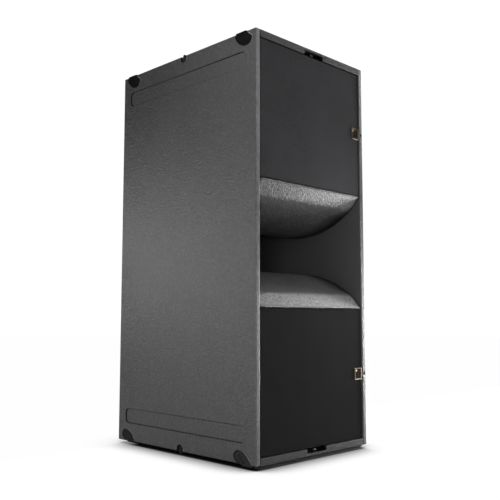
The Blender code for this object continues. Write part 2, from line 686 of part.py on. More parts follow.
def surround_profile():
    """Half-roll surround: landing on the basket, roll, landing on the cone edge."""
    inner, outer = LANDING_R
    under, top = LANDING_HEIGHTS
    roll_under = [(radius, max(height, under)) for radius, height
                  in arc(ROLL_R, ROLL_HEIGHT, ROLL_RADIUS, 4, 176, 5)]
    roll_top = arc(ROLL_R, ROLL_HEIGHT, ROLL_RADIUS + ROLL_T, 170, 10, 5)
    return [(outer, top), (outer, under)] + roll_under + [(inner, under), (inner, top)] + roll_top


def spider_profile():
    """Corrugated disc between the coil former and the basket's ledge."""
    top, low = [], []
    for i in range(SPIDER_FOLDS + 1):
        radius = SPIDER_R1 + (SPIDER_R0 - SPIDER_R1) * i / SPIDER_FOLDS
        height = SPIDER_HEIGHT
        if 0 < i < SPIDER_FOLDS:
            height += SPIDER_WAVE if i % 2 else -SPIDER_WAVE
        top.append((radius, height + SPIDER_T / 2))
        low.append((radius, height - SPIDER_T / 2))
    return top[:1] + low + top[:0:-1]


# name, profile, look, facets
DRIVER_PARTS = [
    ("surround", surround_profile(), "foam", 28),
    ("cone", CONE, "cone", DRIVER_SEG),
    ("dust_cap", DUST_CAP, "cone", 24),
    ("voice_coil", VOICE_COIL, "coil", 24),
    ("spider", spider_profile(), "spider", 24),
    ("top_plate", TOP_PLATE, "zinc", 24),
    ("magnet", MAGNET, "ferrite", 24),
    ("t_yoke", T_YOKE, "zinc", 24),
]


def basket_window(name, axis_at, degrees):
    """Block through the sloping basket wall, turned to face the driver axis."""
    angle = math.radians(degrees)
    radial = Vector((math.cos(angle), 0, math.sin(angle)))
    axial = Vector((0, 1, 0))
    tangent = Vector((-math.sin(angle), 0, math.cos(angle)))
    centre = place(*axis_at) + radial * WINDOW_R * MM + axial * WINDOW_BACK * MM
    window = box(name, *(about(0.0, size) for size in WINDOW_SIZE))
    turn = Matrix((radial, axial, tangent)).transposed()
    window.matrix_world = Matrix.Translation(centre) @ turn.to_4x4()
    return window


def driver(half):
    axis_at = (WIDTH / 2, BAFFLE_Y, from_end(half, DRIVER_Z))
    basket = turned(f"driver_basket_{half}", BASKET, axis_at, "alloy", DRIVER_SEG)
    for i in range(WINDOW_COUNT):
        degrees = WINDOW_START + 360 / WINDOW_COUNT * i
        cut(basket, basket_window(f"cut_window_{half}_{i}", axis_at, degrees))
    for name, profile, look, steps in DRIVER_PARTS:
        turned(f"driver_{name}_{half}", profile, axis_at, look, steps)


# ------------------------------------------------- rear panel, sockets and leads
CONN_W, CONN_H, CONN_T = 170.0, 110.0, 3.0    # connector plate
CONN_RECESS = 4.0
CONN_HOLE_W, CONN_HOLE_H = 140.0, 80.0
SOCKET_X = {"in": WIDTH / 2 - 38.0, "link": WIDTH / 2 + 38.0}
SOCKET_HOLE_R, SOCKET_R, WELL_R, CORE_R = 12.6, 12.2, 9.6, 5.0
SOCKET_HOLE_Y = (DEPTH - 8, DEPTH + 4)
SOCKET_Y = (DEPTH - 34, DEPTH - 0.8)
WELL_Y = (DEPTH - 24, DEPTH + 4)
CORE_Y = (DEPTH - 26, DEPTH - 3)

LEAD_R = 3.5
UPPER_Z = LENGTH - DRIVER_Z
# half: socket, path points (x from the socket's axis, y, z) from socket to driver
LEADS = {
    "upper": ("in", [
        (0, DEPTH - 37.5, CONN_Z), (0, DEPTH - 60, CONN_Z), (0, DEPTH - 130, CONN_Z - 30),
        (-20, 470, CONN_Z - 60), (-14, 360, UPPER_Z - 90), (-12, 285, UPPER_Z - 122),
        (-12, 240, UPPER_Z - 126)]),
    "lower": ("link", [
        (0, DEPTH - 37.5, CONN_Z), (0, DEPTH - 60, CONN_Z), (20, DEPTH - 100, CONN_Z - 70),
        (60, DEPTH - 105, 911), (66, DEPTH - 100, 670), (60, DEPTH - 105, 429),
        (20, 470, 395), (14, 360, DRIVER_Z + 112), (12, 285, DRIVER_Z + 122),
        (12, 240, DRIVER_Z + 126)]),
}


def rear_panel():
    panel = box("rear_panel", INNER_X, (DEPTH - REAR_T, DEPTH),
                (END_T + GAP, LENGTH - END_T - GAP), "paint", bevel=1.0, segments=1)
    cut(panel, box("cut_connector", about(WIDTH / 2, CONN_HOLE_W),
                   (DEPTH - REAR_T - OVERCUT, DEPTH + OVERCUT), about(CONN_Z, CONN_HOLE_H)))
    cut(panel, box("cut_connector_plate", about(WIDTH / 2, CONN_W + 2 * GAP),
                   (DEPTH - CONN_RECESS, DEPTH + OVERCUT), about(CONN_Z, CONN_H + 2 * GAP)))


def connector_plate():
    y0 = DEPTH - CONN_RECESS + GAP
    plate = box("connector_plate", about(WIDTH / 2, CONN_W), (y0, y0 + CONN_T),
                about(CONN_Z, CONN_H), "black_steel", bevel=0.5, segments=1)
    for name, x in SOCKET_X.items():
        hole = circle(x, CONN_Z, SOCKET_HOLE_R, 20)
        cut(plate, prism(f"cut_socket_{name}", [hole], "Y", *SOCKET_HOLE_Y))


def socket(name, x):
    """Round chassis socket: body through the plate, with a core standing in its well."""
    body = prism(f"socket_{name}", [circle(x, CONN_Z, SOCKET_R, 20)], "Y", *SOCKET_Y, "plastic")
    cut(body, prism(f"cut_well_{name}", [circle(x, CONN_Z, WELL_R, 20)], "Y", *WELL_Y))
    join(body, prism(f"add_core_{name}", [circle(x, CONN_Z, CORE_R, 12)], "Y", *CORE_Y))


def smoothed(points):
    """The points with a Catmull-Rom midpoint between each two neighbours."""
    padded = [points[0], *points, points[-1]]
    path = []
    for before, start, stop, after in zip(padded, padded[1:], padded[2:], padded[3:]):
        path += [start, (9 * (start + stop) - before - after) / 16]
    return path + [points[-1]]


def driver_lead(half, socket_name, offsets):
    """Lead from a socket's back to the driver."""
    curve = bpy.data.curves.new(f"driver_lead_{half}_path", "CURVE")
    curve.dimensions = "3D"
    curve.bevel_depth = LEAD_R * MM
    curve.bevel_resolution = 2
    curve.use_fill_caps = True
    path = smoothed([Vector((SOCKET_X[socket_name] + x, y, z)) for x, y, z in offsets])
    spline = curve.splines.new("POLY")
    spline.points.add(len(path) - 1)
    for point, position in zip(spline.points, path):
        point.co = (*place(*position), 1.0)
    to_mesh(f"driver_lead_{half}", curve, "wire")


# ---------------------------------------------------------------------- assembly
guide_pockets(side_panel("left", 0.0, 1))
screw_dents(side_panel("right", WIDTH, -1))

for end in ENDS:
    stacking_runner(end)
    end_panel(end)
    grille_catch(end)
    centre_guide(end)
    handle(end)
    for side in SIDES:
        frame = rail_frame(end, side)
        rigging_rail(end, side, frame)
        link_arm(f"{end}_{side}", frame)
        pull_pin(f"{end}_{side}", frame)

for half in HALVES:
    vent_lip(half)
    baffle(half)
    brace_shelf(half)
    grille_plate(half)
    grille_cloth(half)
    grille_badge(half)
    driver(half)

rear_panel()
connector_plate()
for name, x in SOCKET_X.items():
    socket(name, x)
for half, (socket_name, offsets) in LEADS.items():
    driver_lead(half, socket_name, offsets)

for ob in parts.objects:
    ob.data.shade_smooth()
    if ob.data.polygons:                      # turned profiles have no faces of their own
        ob.data.set_sharp_from_angle(angle=math.radians(35))
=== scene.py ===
"""Looks for the double 18-inch line array subwoofer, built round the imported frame.

The cabinet stands on one end face: +X runs from the left side panel to the right,
+Y from the grilles to the rear panel, +Z from the lower end to the upper. The vent
opens at the front between two curved boards, with a grille above and below it.
"""
import math
import random
from functools import cached_property

import bmesh
import bpy
from mathutils import Matrix, Vector


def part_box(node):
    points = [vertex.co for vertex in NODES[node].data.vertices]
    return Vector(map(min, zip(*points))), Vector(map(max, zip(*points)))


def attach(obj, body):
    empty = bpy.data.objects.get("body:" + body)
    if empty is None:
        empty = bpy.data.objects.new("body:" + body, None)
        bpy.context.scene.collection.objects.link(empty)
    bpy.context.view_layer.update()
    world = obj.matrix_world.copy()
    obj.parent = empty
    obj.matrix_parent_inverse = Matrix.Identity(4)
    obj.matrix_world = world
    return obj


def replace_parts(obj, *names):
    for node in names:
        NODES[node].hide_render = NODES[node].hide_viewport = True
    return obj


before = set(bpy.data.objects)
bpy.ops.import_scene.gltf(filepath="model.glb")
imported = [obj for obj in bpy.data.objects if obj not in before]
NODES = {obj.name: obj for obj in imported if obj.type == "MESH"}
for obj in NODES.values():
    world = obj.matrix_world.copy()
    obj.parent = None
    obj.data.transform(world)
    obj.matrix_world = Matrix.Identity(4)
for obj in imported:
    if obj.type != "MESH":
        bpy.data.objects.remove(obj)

SCENE = bpy.context.scene
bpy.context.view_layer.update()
MM = 0.001

LEFT_LO, LEFT_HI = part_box("side_panel_left")
RIGHT_LO, RIGHT_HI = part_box("side_panel_right")
LENGTH = LEFT_HI.z - LEFT_LO.z


def body_point(x, y, z):
    """Body millimetres (from left panel, front edge, lower end face) to the frame."""
    return Vector((LEFT_LO.x + x * MM, LEFT_LO.y + y * MM, LEFT_LO.z + z * MM))


# ============================================================== shader nodes
def rgba(color):
    """A grey level or an RGB tuple as an opaque colour."""
    return (color, color, color, 1.0) if isinstance(color, (int, float)) else (*color, 1.0)


class Field:
    """An output socket; each arithmetic sign used on it adds one Math node."""

    def __init__(self, nodes, socket):
        self.nodes = nodes
        self.socket = socket

    def __add__(self, other):
        return self.nodes.math("ADD", self, other)

    def __radd__(self, other):
        return self.nodes.math("ADD", other, self)

    def __sub__(self, other):
        return self.nodes.math("SUBTRACT", self, other)

    def __rsub__(self, other):
        return self.nodes.math("SUBTRACT", other, self)

    def __mul__(self, other):
        return self.nodes.math("MULTIPLY", self, other)

    def __truediv__(self, other):
        return self.nodes.math("DIVIDE", self, other)

    def __pow__(self, other):
        return self.nodes.math("POWER", self, other)

    def __lt__(self, other):
        return self.nodes.math("LESS_THAN", self, other)

    def __gt__(self, other):
        return self.nodes.math("GREATER_THAN", self, other)

    def __abs__(self):
        return self.nodes.math("ABSOLUTE", self)


class Nodes:
    """Short calls for adding nodes to a tree."""

    def __init__(self, tree):
        self.tree = tree

    def link(self, source, target):
        self.tree.links.new(source.socket, target)

    def set(self, target, value):
        if isinstance(value, Field):
            self.link(value, target)
        else:
            target.default_value = value

    def node(self, kind, output=0, inputs=None, **settings):
        """Add a node and return one of its outputs as a Field."""
        node = self.tree.nodes.new(kind)
        for key, value in settings.items():
            setattr(node, key, value)
        for key, value in (inputs or {}).items():
            self.set(node.inputs[key], value)
        return Field(self, node.outputs[output])

    def math(self, operation, a, b=0.0, c=None, clamp=False):
        inputs = {0: a, 1: b}
        if c is not None:
            inputs[2] = c
        return self.node("ShaderNodeMath", 0, inputs, operation=operation, use_clamp=clamp)

    def split(self, vector):
        """The X, Y and Z of a vector."""
        node = self.node("ShaderNodeSeparateXYZ", inputs={0: vector}).socket.node
        return [Field(self, socket) for socket in node.outputs]

    def mix(self, factor, a, b, mode="MIX"):
        # sockets 6 and 7 are the colour inputs of the Mix node, output 2 its colour result
        a, b = (v if isinstance(v, Field) else rgba(v) for v in (a, b))
        return self.node("ShaderNodeMix", 2, {0: factor, 6: a, 7: b},
                         data_type="RGBA", blend_type=mode)

    def tint(self, color, by, factor=1.0):
        return self.mix(factor, color, by, "MULTIPLY")

    def ramp(self, factor, stops, interpolation="LINEAR"):
        """Colour ramp; stops are (position, colour or grey level)."""
        field = self.node("ShaderNodeValToRGB", "Color", {"Fac": factor})
        ramp = field.socket.node.color_ramp
        ramp.interpolation = interpolation
        elements = ramp.elements
        while len(elements) > 1:
            elements.remove(elements[-1])
        elements[0].position = stops[0][0]
        elements[0].color = rgba(stops[0][1])
        for position, color in stops[1:]:
            elements.new(position).color = rgba(color)
        return field


class Surface(Nodes):
    """The node tree of a material with one Principled shader, in object coordinates."""

    def __init__(self, material):
        super().__init__(material.node_tree)
        self.material = material
        by_type = {node.type: node for node in self.tree.nodes}
        self.output = by_type["OUTPUT_MATERIAL"]
        self.bsdf = by_type["BSDF_PRINCIPLED"]
        self.coords = Field(self, by_type["TEX_COORD"].outputs["Object"])

    @classmethod
    def new(cls, name):
        material = bpy.data.materials.new(name)
        material.use_nodes = True
        nodes = material.node_tree.nodes
        nodes.clear()
        output = nodes.new("ShaderNodeOutputMaterial")
        bsdf = nodes.new("ShaderNodeBsdfPrincipled")
        nodes.new("ShaderNodeTexCoord")
        material.node_tree.links.new(bsdf.outputs[0], output.inputs[0])
        return cls(material)

    @cached_property
    def position(self):
        return self.split(self.coords)

    @property
    def color(self):
        """What now feeds the base colour."""
        return Field(self, self.bsdf.inputs["Base Color"].links[0].from_socket)

    @color.setter
    def color(self, value):
        self.set(self.bsdf.inputs["Base Color"], value)

    def noise(self, scale, detail=2.0, rough=0.5, distort=0.0, vector=None):
        return self.node("ShaderNodeTexNoise", "Fac", {
            "Scale": scale, "Detail": detail, "Roughness": rough, "Distortion": distort,
            "Vector": vector or self.coords})

    def voronoi(self, scale, feature="SMOOTH_F1", randomness=1.0):
        return self.node("ShaderNodeTexVoronoi", "Distance", {
            "Scale": scale, "Randomness": randomness, "Vector": self.coords}, feature=feature)

    def wave(self, scale, direction, distort):
        return self.node("ShaderNodeTexWave", "Fac", {
            "Scale": scale, "Distortion": distort, "Detail": 1.0, "Vector": self.coords},
            wave_type="BANDS", bands_direction=direction, wave_profile="SIN")

    def stretched(self, scale):
        return self.node("ShaderNodeMapping", "Vector", {"Scale": scale, "Vector": self.coords})

    def bump(self, height, distance, strength, normal=None):
        inputs = {"Distance": distance, "Strength": strength, "Height": height}
        if normal is not None:
            inputs["Normal"] = normal
        return self.node("ShaderNodeBump", "Normal", inputs)

    def bevel(self, radius, samples=4):
        return self.node("ShaderNodeBevel", "Normal", {"Radius": radius}, samples=samples)

    def edges(self, radius):
        """0 on flats, towards 1 on edges, from the bevelled normal."""
        normal = self.node("ShaderNodeNewGeometry", "Normal")
        dot = self.node("ShaderNodeVectorMath", "Value", {0: self.bevel(radius), 1: normal},
                        operation="DOT_PRODUCT")
        return self.math("SUBTRACT", 1.0, dot, clamp=True)

    def finish(self, color, rough, metal=0.0, normal=None, **inputs):
        """Feed the shader; further inputs are named with underscores for spaces."""
        self.color = color
        self.set(self.bsdf.inputs["Roughness"], rough)
        self.set(self.bsdf.inputs["Metallic"], metal)
        if normal is not None:
            self.link(normal, self.bsdf.inputs["Normal"])
        for key, value in inputs.items():
            self.set(self.bsdf.inputs[key.replace("_", " ")], value)
        return self.material


# ============================================================= cabinet paint
def worn_edges(s, color, rough, wear):
    """Thin, rubbed paint on the edges, broken up by grit."""
    edge = s.edges(radius=0.0030)
    grit = (s.noise(60.0, detail=4.0, rough=0.7) + s.noise(9.0)) * 0.5
    mask = s.ramp(edge, [(0.03, 0.0), (0.22, 1.0)]) * s.ramp(grit, [(0.44, 0.05), (0.62, 0.8)])
    return s.mix(mask * wear, color, (0.085, 0.085, 0.087)), rough + mask * 0.10


def crease_shade(s, creases):
    """Painted shade where a vent board runs into the side panels, wider further back."""
    x, y, z = s.position
    x_left, x_right, y_front = creases
    middle, half = (x_left + x_right) / 2, (x_right - x_left) / 2
    gap = half - abs(x - middle)
    deep = s.math("MULTIPLY", y - y_front, 1.0 / 0.075, clamp=True) ** 2.0
    width = deep * 0.105 + 0.004
    return s.ramp(gap / width, [(0.06, 0.09), (0.32, 0.21), (0.62, 0.54), (1.0, 1.0)], "EASE")


def occlusion_shade(s, distance):
    # painted shade in corners, from the ambient occlusion node
    occlusion = s.node("ShaderNodeAmbientOcclusion", "AO", {"Distance": distance}, samples=6)
    return s.ramp(occlusion, [(0.30, 0.22), (0.80, 1.0)])


def vent_nose(s, color, base, light, creases, nose):
    """The board's flat nose: a painted highlight growing from the left to the right end, dark pits and
    painted glints.
    """
    x, y, z = s.position
    x_left, x_right, y_front = creases
    flat = s.ramp((y - y_front) * 10.0, [(0.02, 0.0), (0.05, 1.0), (0.33, 1.0), (0.46, 0.0)])
    across = s.math("DIVIDE", x - x_left, x_right - x_left, clamp=True)
    # painted highlight on the flat nose, growing from the left to the right end
    gain = nose[0] + across * (nose[1] - nose[0])
    nose_light_color = s.node("ShaderNodeCombineColor", "Color",
                        {"Red": gain, "Green": gain, "Blue": gain})
    color = s.mix(flat, color, s.tint(color, nose_light_color))
    pits = s.ramp(s.noise(150.0, distort=0.8), [(0.36, 0.50), (0.45, 0.0)]) * flat
    color = s.mix(pits, color, base * 0.35)
    # painted glints: light dots on the nose standing in for highlights
    painted_glints = s.ramp(s.noise(185.0, distort=0.3), [(0.55, 0.0), (0.68, 0.55)]) * flat
    color = s.mix(painted_glints, color, light * 3.4)
    shine = 1.0 + (gain - 1.0) * flat * 1.3
    shine = shine * (1.0 - s.math("MULTIPLY", pits, 1.15, clamp=True))
    return color, shine * (1.0 + painted_glints)


# Painted light and shade on cut edges, from ramps over the way a cut edge faces: 0 towards the front,
# 0.5 outwards, 1 to the rear.
# Grooves run the middle of the panel; pockets lie within POCKET_REACH of its ends.
GROOVE_GAIN, POCKET_GAIN = 10.0, 14.0
POCKET_REACH = 0.045
GROOVE_LIGHT_LEVELS = [(0.0, 0.01), (0.36, 0.035), (0.44, 0.075), (0.48, 0.095), (0.50, 0.10),
                 (0.54, 0.082), (0.60, 0.060), (1.0, 0.055)]
POCKET_LIGHT_LEVELS = [(0.0, 0.007), (0.36, 0.025), (0.44, 0.053), (0.48, 0.068), (0.50, 0.0714),
                 (0.53, 0.10), (0.575, 0.55), (0.64, 1.0)]
GROOVE_SHADE = [(0.34, 0.15), (0.42, 0.55), (0.485, 1.0), (0.52, 1.0), (0.60, 0.45)]
POCKET_SHADE = [(0.34, 0.15), (0.42, 0.55), (0.485, 1.0)]


def cut_rims(s, color, rims):
    """Painted highlight and shade on the edges of what is cut into the panel's outer face, by the way
    each edge faces.
    """
    x, y, z = s.position
    x_face, y_lo, y_hi, z_lo, z_hi = rims
    normal_x, normal_y, normal_z = s.split(s.bevel(0.0032, samples=6))
    mask = x < x_face + 0.0045
    for along, low, high in ((y, y_lo, y_hi), (z, z_lo, z_hi)):
        mask = mask * ((along > low) * (along < high))
    facing = (normal_y - abs(normal_z) * 0.34) * 0.5 + 0.5
    pocket = abs(z - (z_lo + z_hi) / 2) > (z_hi - z_lo) / 2 - POCKET_REACH
    # painted highlight on edges facing the rear, painted shade on those facing the front
    groove_color = s.tint(s.tint(color, GROOVE_GAIN), s.ramp(facing, GROOVE_LIGHT_LEVELS))
    pocket_color = s.tint(s.tint(color, POCKET_GAIN), s.ramp(facing, POCKET_LIGHT_LEVELS))
    color = s.mix(mask, color, s.mix(pocket, groove_color, pocket_color))
    shade = s.mix(pocket, s.ramp(facing, GROOVE_SHADE), s.ramp(facing, POCKET_SHADE))
    return color, s.mix(mask, 1.0, shade)


def foot_shade(s, foot):
    """Painted shade, near black, on what faces down below the height of foot."""
    normal = s.node("ShaderNodeNewGeometry", "True Normal")
    facing_down = s.split(normal)[2] < -0.30
    return s.mix(facing_down * (s.position[2] < foot), 1.0, 0.06)


def make_paint(name, base, light, wear=0.5, rough=0.40, peel=1.0, specular=0.5, contrast=1.0,
               scuffs=0.30, mottle=0.0, occlusion=0.0, inside=None, front=None, creases=None,
               nose=None, rims=None, foot=None):
    """Sprayed texture paint: orange peel, fine speckle, scuffs and thin edges.

    base, light   grey of the paint and of its speckle
    peel, mottle  strength of the peel and of the slower waviness under it
    occlusion     reach of the painted shade in corners
    inside        (x, gain): the face left of x is smoother and lighter with painted light
    front         (y, gain): the edge forward of y is lighter with a painted highlight
    creases       (x left, x right, y front) of the opening a vent board spans, for painted shade in its creases
    nose          gain of the painted highlight on the board's flat nose at its left and right ends
    rims          (x face, y low, y high, z low, z high) of the cuts in the left face, for painted highlight and shade on their edges
    foot          height below which downward faces get painted shade, near black
    """
    s = Surface.new(name)
    speckle = s.noise(420.0, detail=3.0, rough=0.65)
    coarse = s.noise(110.0)
    cloud = s.noise(4.0, detail=3.0, rough=0.55)
    blotch = s.noise(28.0, rough=0.6)
    light_stop = (light * 0.98 * contrast, light * contrast, light * 1.02 * contrast)
    color = s.ramp(speckle * 0.60 + coarse * 0.40, [
        (0.34, base * 0.60 / contrast), (0.50, base), (0.58, light_stop),
        (0.72, light * 1.7 * contrast * contrast)])
    color = s.mix(s.ramp(cloud, [(0.35, 0.0), (0.7, 0.25)]), color,
                  (base * 1.5, base * 1.5, base * 1.55))
    roughness = speckle * 0.20 + (blotch * 0.10 + (rough - 0.15))
    if wear:
        color, roughness = worn_edges(s, color, roughness, wear)
    scuff = s.noise(45.0, detail=3.0, rough=0.6, vector=s.stretched((3.0, 3.0, 0.25)))
    scuffed = s.ramp(scuff, [(0.68, 0.0), (0.80, scuffs)]) * s.ramp(blotch, [(0.5, 0.0), (0.65, 1.0)])
    color = s.mix(scuffed, color, 0.07)

    height = s.voronoi(230.0) * -1.0 + (s.noise(300.0, distort=0.4) * 1.2 + speckle * 0.6)
    # painted light: the inside face is made lighter by the gain
    if inside:
        near = s.position[0] < inside[0]
        even = s.mix(0.86, color, base * 1.22)
        color = s.mix(near, color, s.tint(even, inside[1]))
        height = height * (1.0 - near * 0.88)
    # painted highlight on the front edge
    if front:
        color = s.mix(s.position[1] < front[0], color, s.tint(color, front[1]))

    shades = []
    shine = None
    if creases:
        shades.append(crease_shade(s, creases))
    if occlusion:
        shades.append(occlusion_shade(s, occlusion))
    if nose:
        color, shine = vent_nose(s, color, base, light, creases, nose)
    if rims:
        color, shade = cut_rims(s, color, rims)
        shades.append(shade)
    if foot is not None:
        shades.append(foot_shade(s, foot))
    # the painted shade darkens both the colour and the specular level
    if shades:
        dark = shades[0]
        for shade in shades[1:]:
            dark = s.tint(dark, shade)
        color = s.tint(color, dark)
        specular = dark * specular
        if shine is not None:
            specular = specular * shine

    normal = s.bump(height, distance=0.0011, strength=0.75 * peel, normal=s.bevel(0.0016))
    normal = s.bump(cloud, distance=0.002, strength=0.10, normal=normal)
    if mottle:
        waves = s.noise(95.0, rough=0.55)
        normal = s.bump(waves, distance=0.0016, strength=mottle, normal=normal)
    return s.finish(color, roughness, normal=normal, Specular_IOR_Level=specular)


# =========================================================== other materials
def make_ply(name):
    s = Surface.new(name)
    grain = s.noise(55.0, detail=6.0, rough=0.6, distort=0.6, vector=s.stretched((9.0, 9.0, 0.7)))
    figure = s.noise(6.0, detail=3.0, distort=1.2, vector=s.stretched((1.0, 1.0, 6.0)))
    color = s.ramp(grain, [(0.3, (0.30, 0.19, 0.10)), (0.5, (0.44, 0.31, 0.18)),
                           (0.72, (0.56, 0.42, 0.27))])
    color = s.mix(s.ramp(figure, [(0.35, 0.0), (0.7, 0.45)]), color, (0.36, 0.23, 0.12))
    normal = s.bump(grain, distance=0.0004, strength=0.5, normal=s.bevel(0.0008))
    return s.finish(color, grain * 0.25 + 0.5, normal=normal)


def make_powder(name, base, rough, wear, steel=0.22, specular=0.5):
    """Powder coat of grey level base, worn through to steel on its edges."""
    s = Surface.new(name)
    fine = s.noise(900.0, detail=3.0, rough=0.6)
    middle = s.noise(140.0, detail=3.0, rough=0.6)
    large = s.noise(11.0, detail=3.0, rough=0.6)
    color = s.ramp(middle, [(0.3, base * 0.8), (0.7, base * 1.5)])
    edge = s.ramp(s.edges(radius=0.0022), [(0.03, 0.0), (0.22, 1.0)])
    grit = (s.noise(75.0, detail=5.0, rough=0.7) + large) * 0.5
    bare = edge * s.ramp(grit, [(0.46, 0.0), (0.60, 1.0)]) * wear
    color = s.mix(bare, color, (steel, steel, steel * 1.02))
    scratch = s.noise(70.0, vector=s.stretched((1.2, 14.0, 14.0)))
    color = s.mix(s.ramp(scratch, [(0.68, 0.0), (0.78, 0.25)]) * large, color, 0.05)
    roughness = large * 0.18 + (fine * 0.14 + (rough - 0.14))
    normal = s.bump(fine + middle * 0.6, distance=0.00025, strength=0.6, normal=s.bevel(0.001))
    return s.finish(color, roughness, bare * 0.9, normal, Specular_IOR_Level=specular)


def make_cloth(name, base, light, sheen):
    """Knitted acoustic fabric: fine ribs and dimples."""
    s = Surface.new(name)
    knit = s.wave(500.0, "X", distort=0.6) * s.wave(500.0, "Z", distort=0.6)
    cell = s.voronoi(520.0, feature="F1", randomness=0.35)
    fuzz = s.noise(1400.0, detail=3.0, rough=0.7)
    mottle = s.noise(260.0, detail=3.0, rough=0.7)
    slub = s.noise(60.0, detail=3.0, rough=0.6, vector=s.stretched((1.0, 1.0, 7.0)))
    cloud = s.noise(7.0)
    color = s.ramp(knit * 0.30 + (mottle * 0.45 + slub * 0.25),
                   [(0.25, tuple(c * 0.45 for c in base)), (0.45, base), (0.70, light)])
    color = s.mix(s.ramp(cloud, [(0.3, 0.0), (0.75, 0.22)]), color, light)
    height = knit * 0.8 + (cell * -0.6 + fuzz * 0.3)
    normal = s.bump(height, distance=0.0006, strength=0.7)
    normal = s.bump(slub, distance=0.0012, strength=0.12, normal=normal)
    return s.finish(color, fuzz * 0.1 + 0.86, normal=normal, Sheen_Weight=sheen,
                    Sheen_Roughness=0.5, Specular_IOR_Level=0.05)


def make_plastic(name, base, rough, specular=0.5):
    s = Surface.new(name)
    grain = s.voronoi(700.0)
    cloud = s.noise(20.0, detail=3.0)
    color = s.ramp(cloud, [(0.3, base * 0.8), (0.7, base * 1.3)])
    edge = s.ramp(s.edges(radius=0.0015), [(0.03, 0.0), (0.3, 1.0)])
    grit = s.ramp(s.noise(50.0, detail=4.0, rough=0.7), [(0.45, 0.0), (0.65, 0.5)])
    color = s.mix(edge * grit, color, 0.07)
    normal = s.bump(grain, distance=0.00018, strength=0.7, normal=s.bevel(0.0008))
    return s.finish(color, cloud * 0.16 + (rough - 0.06), normal=normal,
                    Specular_IOR_Level=specular)


def make_metal(name, dark, light, rough, stretch=(1, 1, 30), bump=0.4, metal=1.0, scale=60.0,
               specular=0.5):
    """Brushed or cast metal; stretch draws the noise of that scale out into a grain."""
    s = Surface.new(name)
    grain = s.noise(scale, detail=5.0, rough=0.65, vector=s.stretched(stretch))
    cloud = s.noise(18.0, detail=3.0, rough=0.6)
    smudge = s.noise(35.0, detail=4.0, rough=0.7)
    color = s.mix(cloud, s.ramp(grain, [(0.3, dark), (0.7, light)]), dark)
    roughness = grain * 0.18 + (smudge * 0.16 + (rough - 0.16))
    normal = s.bump(grain, distance=0.00012, strength=bump, normal=s.bevel(0.0007))
    return s.finish(color, roughness, metal, normal, Specular_IOR_Level=specular)


def make_cone_paper(name):
    s = Surface.new(name)
    fibre = s.noise(420.0, detail=5.0, rough=0.75, distort=0.8)
    mottle = s.noise(40.0, detail=3.0, rough=0.6)
    color = s.ramp(fibre, [(0.3, 0.010), (0.55, 0.022), (0.75, 0.05)])
    color = s.mix(s.ramp(mottle, [(0.4, 0.0), (0.7, 0.3)]), color, 0.035)
    return s.finish(color, fibre * 0.2 + 0.6, normal=s.bump(fibre, distance=0.0004, strength=0.6))


def make_weave(name, dark, light):
    s = Surface.new(name)
    weave = s.math("MAXIMUM", s.wave(900.0, "X", distort=0.2), s.wave(900.0, "Z", distort=0.2))
    cloud = s.noise(300.0, detail=3.0, rough=0.6)
    color = s.mix(cloud, s.ramp(weave, [(0.2, dark), (0.9, light)]), dark)
    return s.finish(color, cloud * 0.15 + 0.72, normal=s.bump(weave, distance=0.0003, strength=0.6))


def make_coil(name):
    s = Surface.new(name)
    winding = s.wave(1500.0, "Y", distort=0.0)
    cloud = s.noise(80.0, detail=3.0, rough=0.6)
    color = s.ramp(winding, [(0.1, (0.20, 0.07, 0.02)), (0.8, (0.60, 0.27, 0.11))])
    color = s.mix(cloud, color, (0.45, 0.18, 0.07))
    return s.finish(color, cloud * 0.15 + 0.25, 0.9,
                    s.bump(winding, distance=0.0002, strength=0.8))


def blacken_front(material, y_to):
    """Brushed-on black over everything forward of y_to, bare wood behind."""
    s = Surface(material)
    ragged_y = s.math("MULTIPLY_ADD", s.noise(35.0), 0.006, s.position[1])
    s.color = s.mix(ragged_y < y_to, s.color, 0.008)


def paint_front(material, x_from, z_from):
    """Cabinet paint over the rail right of x_from and above z_from."""
    s = Surface(material)
    x, y, z = s.position
    paint = s.ramp(s.noise(260.0), [(0.38, (0.0075, 0.0075, 0.0076)),
                                    (0.62, (0.0170, 0.0170, 0.0172))])
    s.color = s.mix((x > x_from) * (z > z_from), s.color, paint)


def shaded_frame_copy(material, x_to, z_from, half):
    """Copy of the badge frame's metal, with painted shade on its left upright and its top rail."""
    copy = material.copy()
    copy.name = material.name + "_frame_" + half
    s = Surface(copy)
    x, y, z = s.position
    s.color = s.tint(s.color, (0.42, 0.35, 0.30), s.math("MAXIMUM", x < x_to, z > z_from))
    return copy


# The panels' paint, with a painted highlight on their front edge and painted shade, near black, on
# their lower edge
PANEL_GREY = dict(base=0.0130, light=0.029)
FRONT_EDGE_Y = LEFT_LO.y + 0.0015
FOOT_Z = LEFT_LO.z + 0.006
# The vent boards' paint is the panel paint made lighter, as painted light; it also carries painted
# shade in corners and creases
VENT_LOOK = dict(base=0.0175, light=0.038, wear=0.0, rough=0.36, peel=1.15, occlusion=0.03,
                 contrast=1.25, creases=(LEFT_HI.x, RIGHT_LO.x, LEFT_LO.y))

PAINT = make_paint("textured_paint", front=(FRONT_EDGE_Y, 1.35), **PANEL_GREY)
PAINT_LEFT = make_paint(
    "textured_paint_left", front=(FRONT_EDGE_Y, 1.52), foot=FOOT_Z, mottle=0.55,
    rims=(LEFT_LO.x, LEFT_LO.y + 0.0045, LEFT_HI.y - 0.0045,
          LEFT_LO.z + 0.0005, LEFT_HI.z - 0.0045), **PANEL_GREY)
# The right panel's inside face within the vent gets painted light
PAINT_RIGHT = make_paint("textured_paint_right", inside=(RIGHT_LO.x + 0.0004, 3.1), foot=FOOT_Z,
                         **PANEL_GREY)
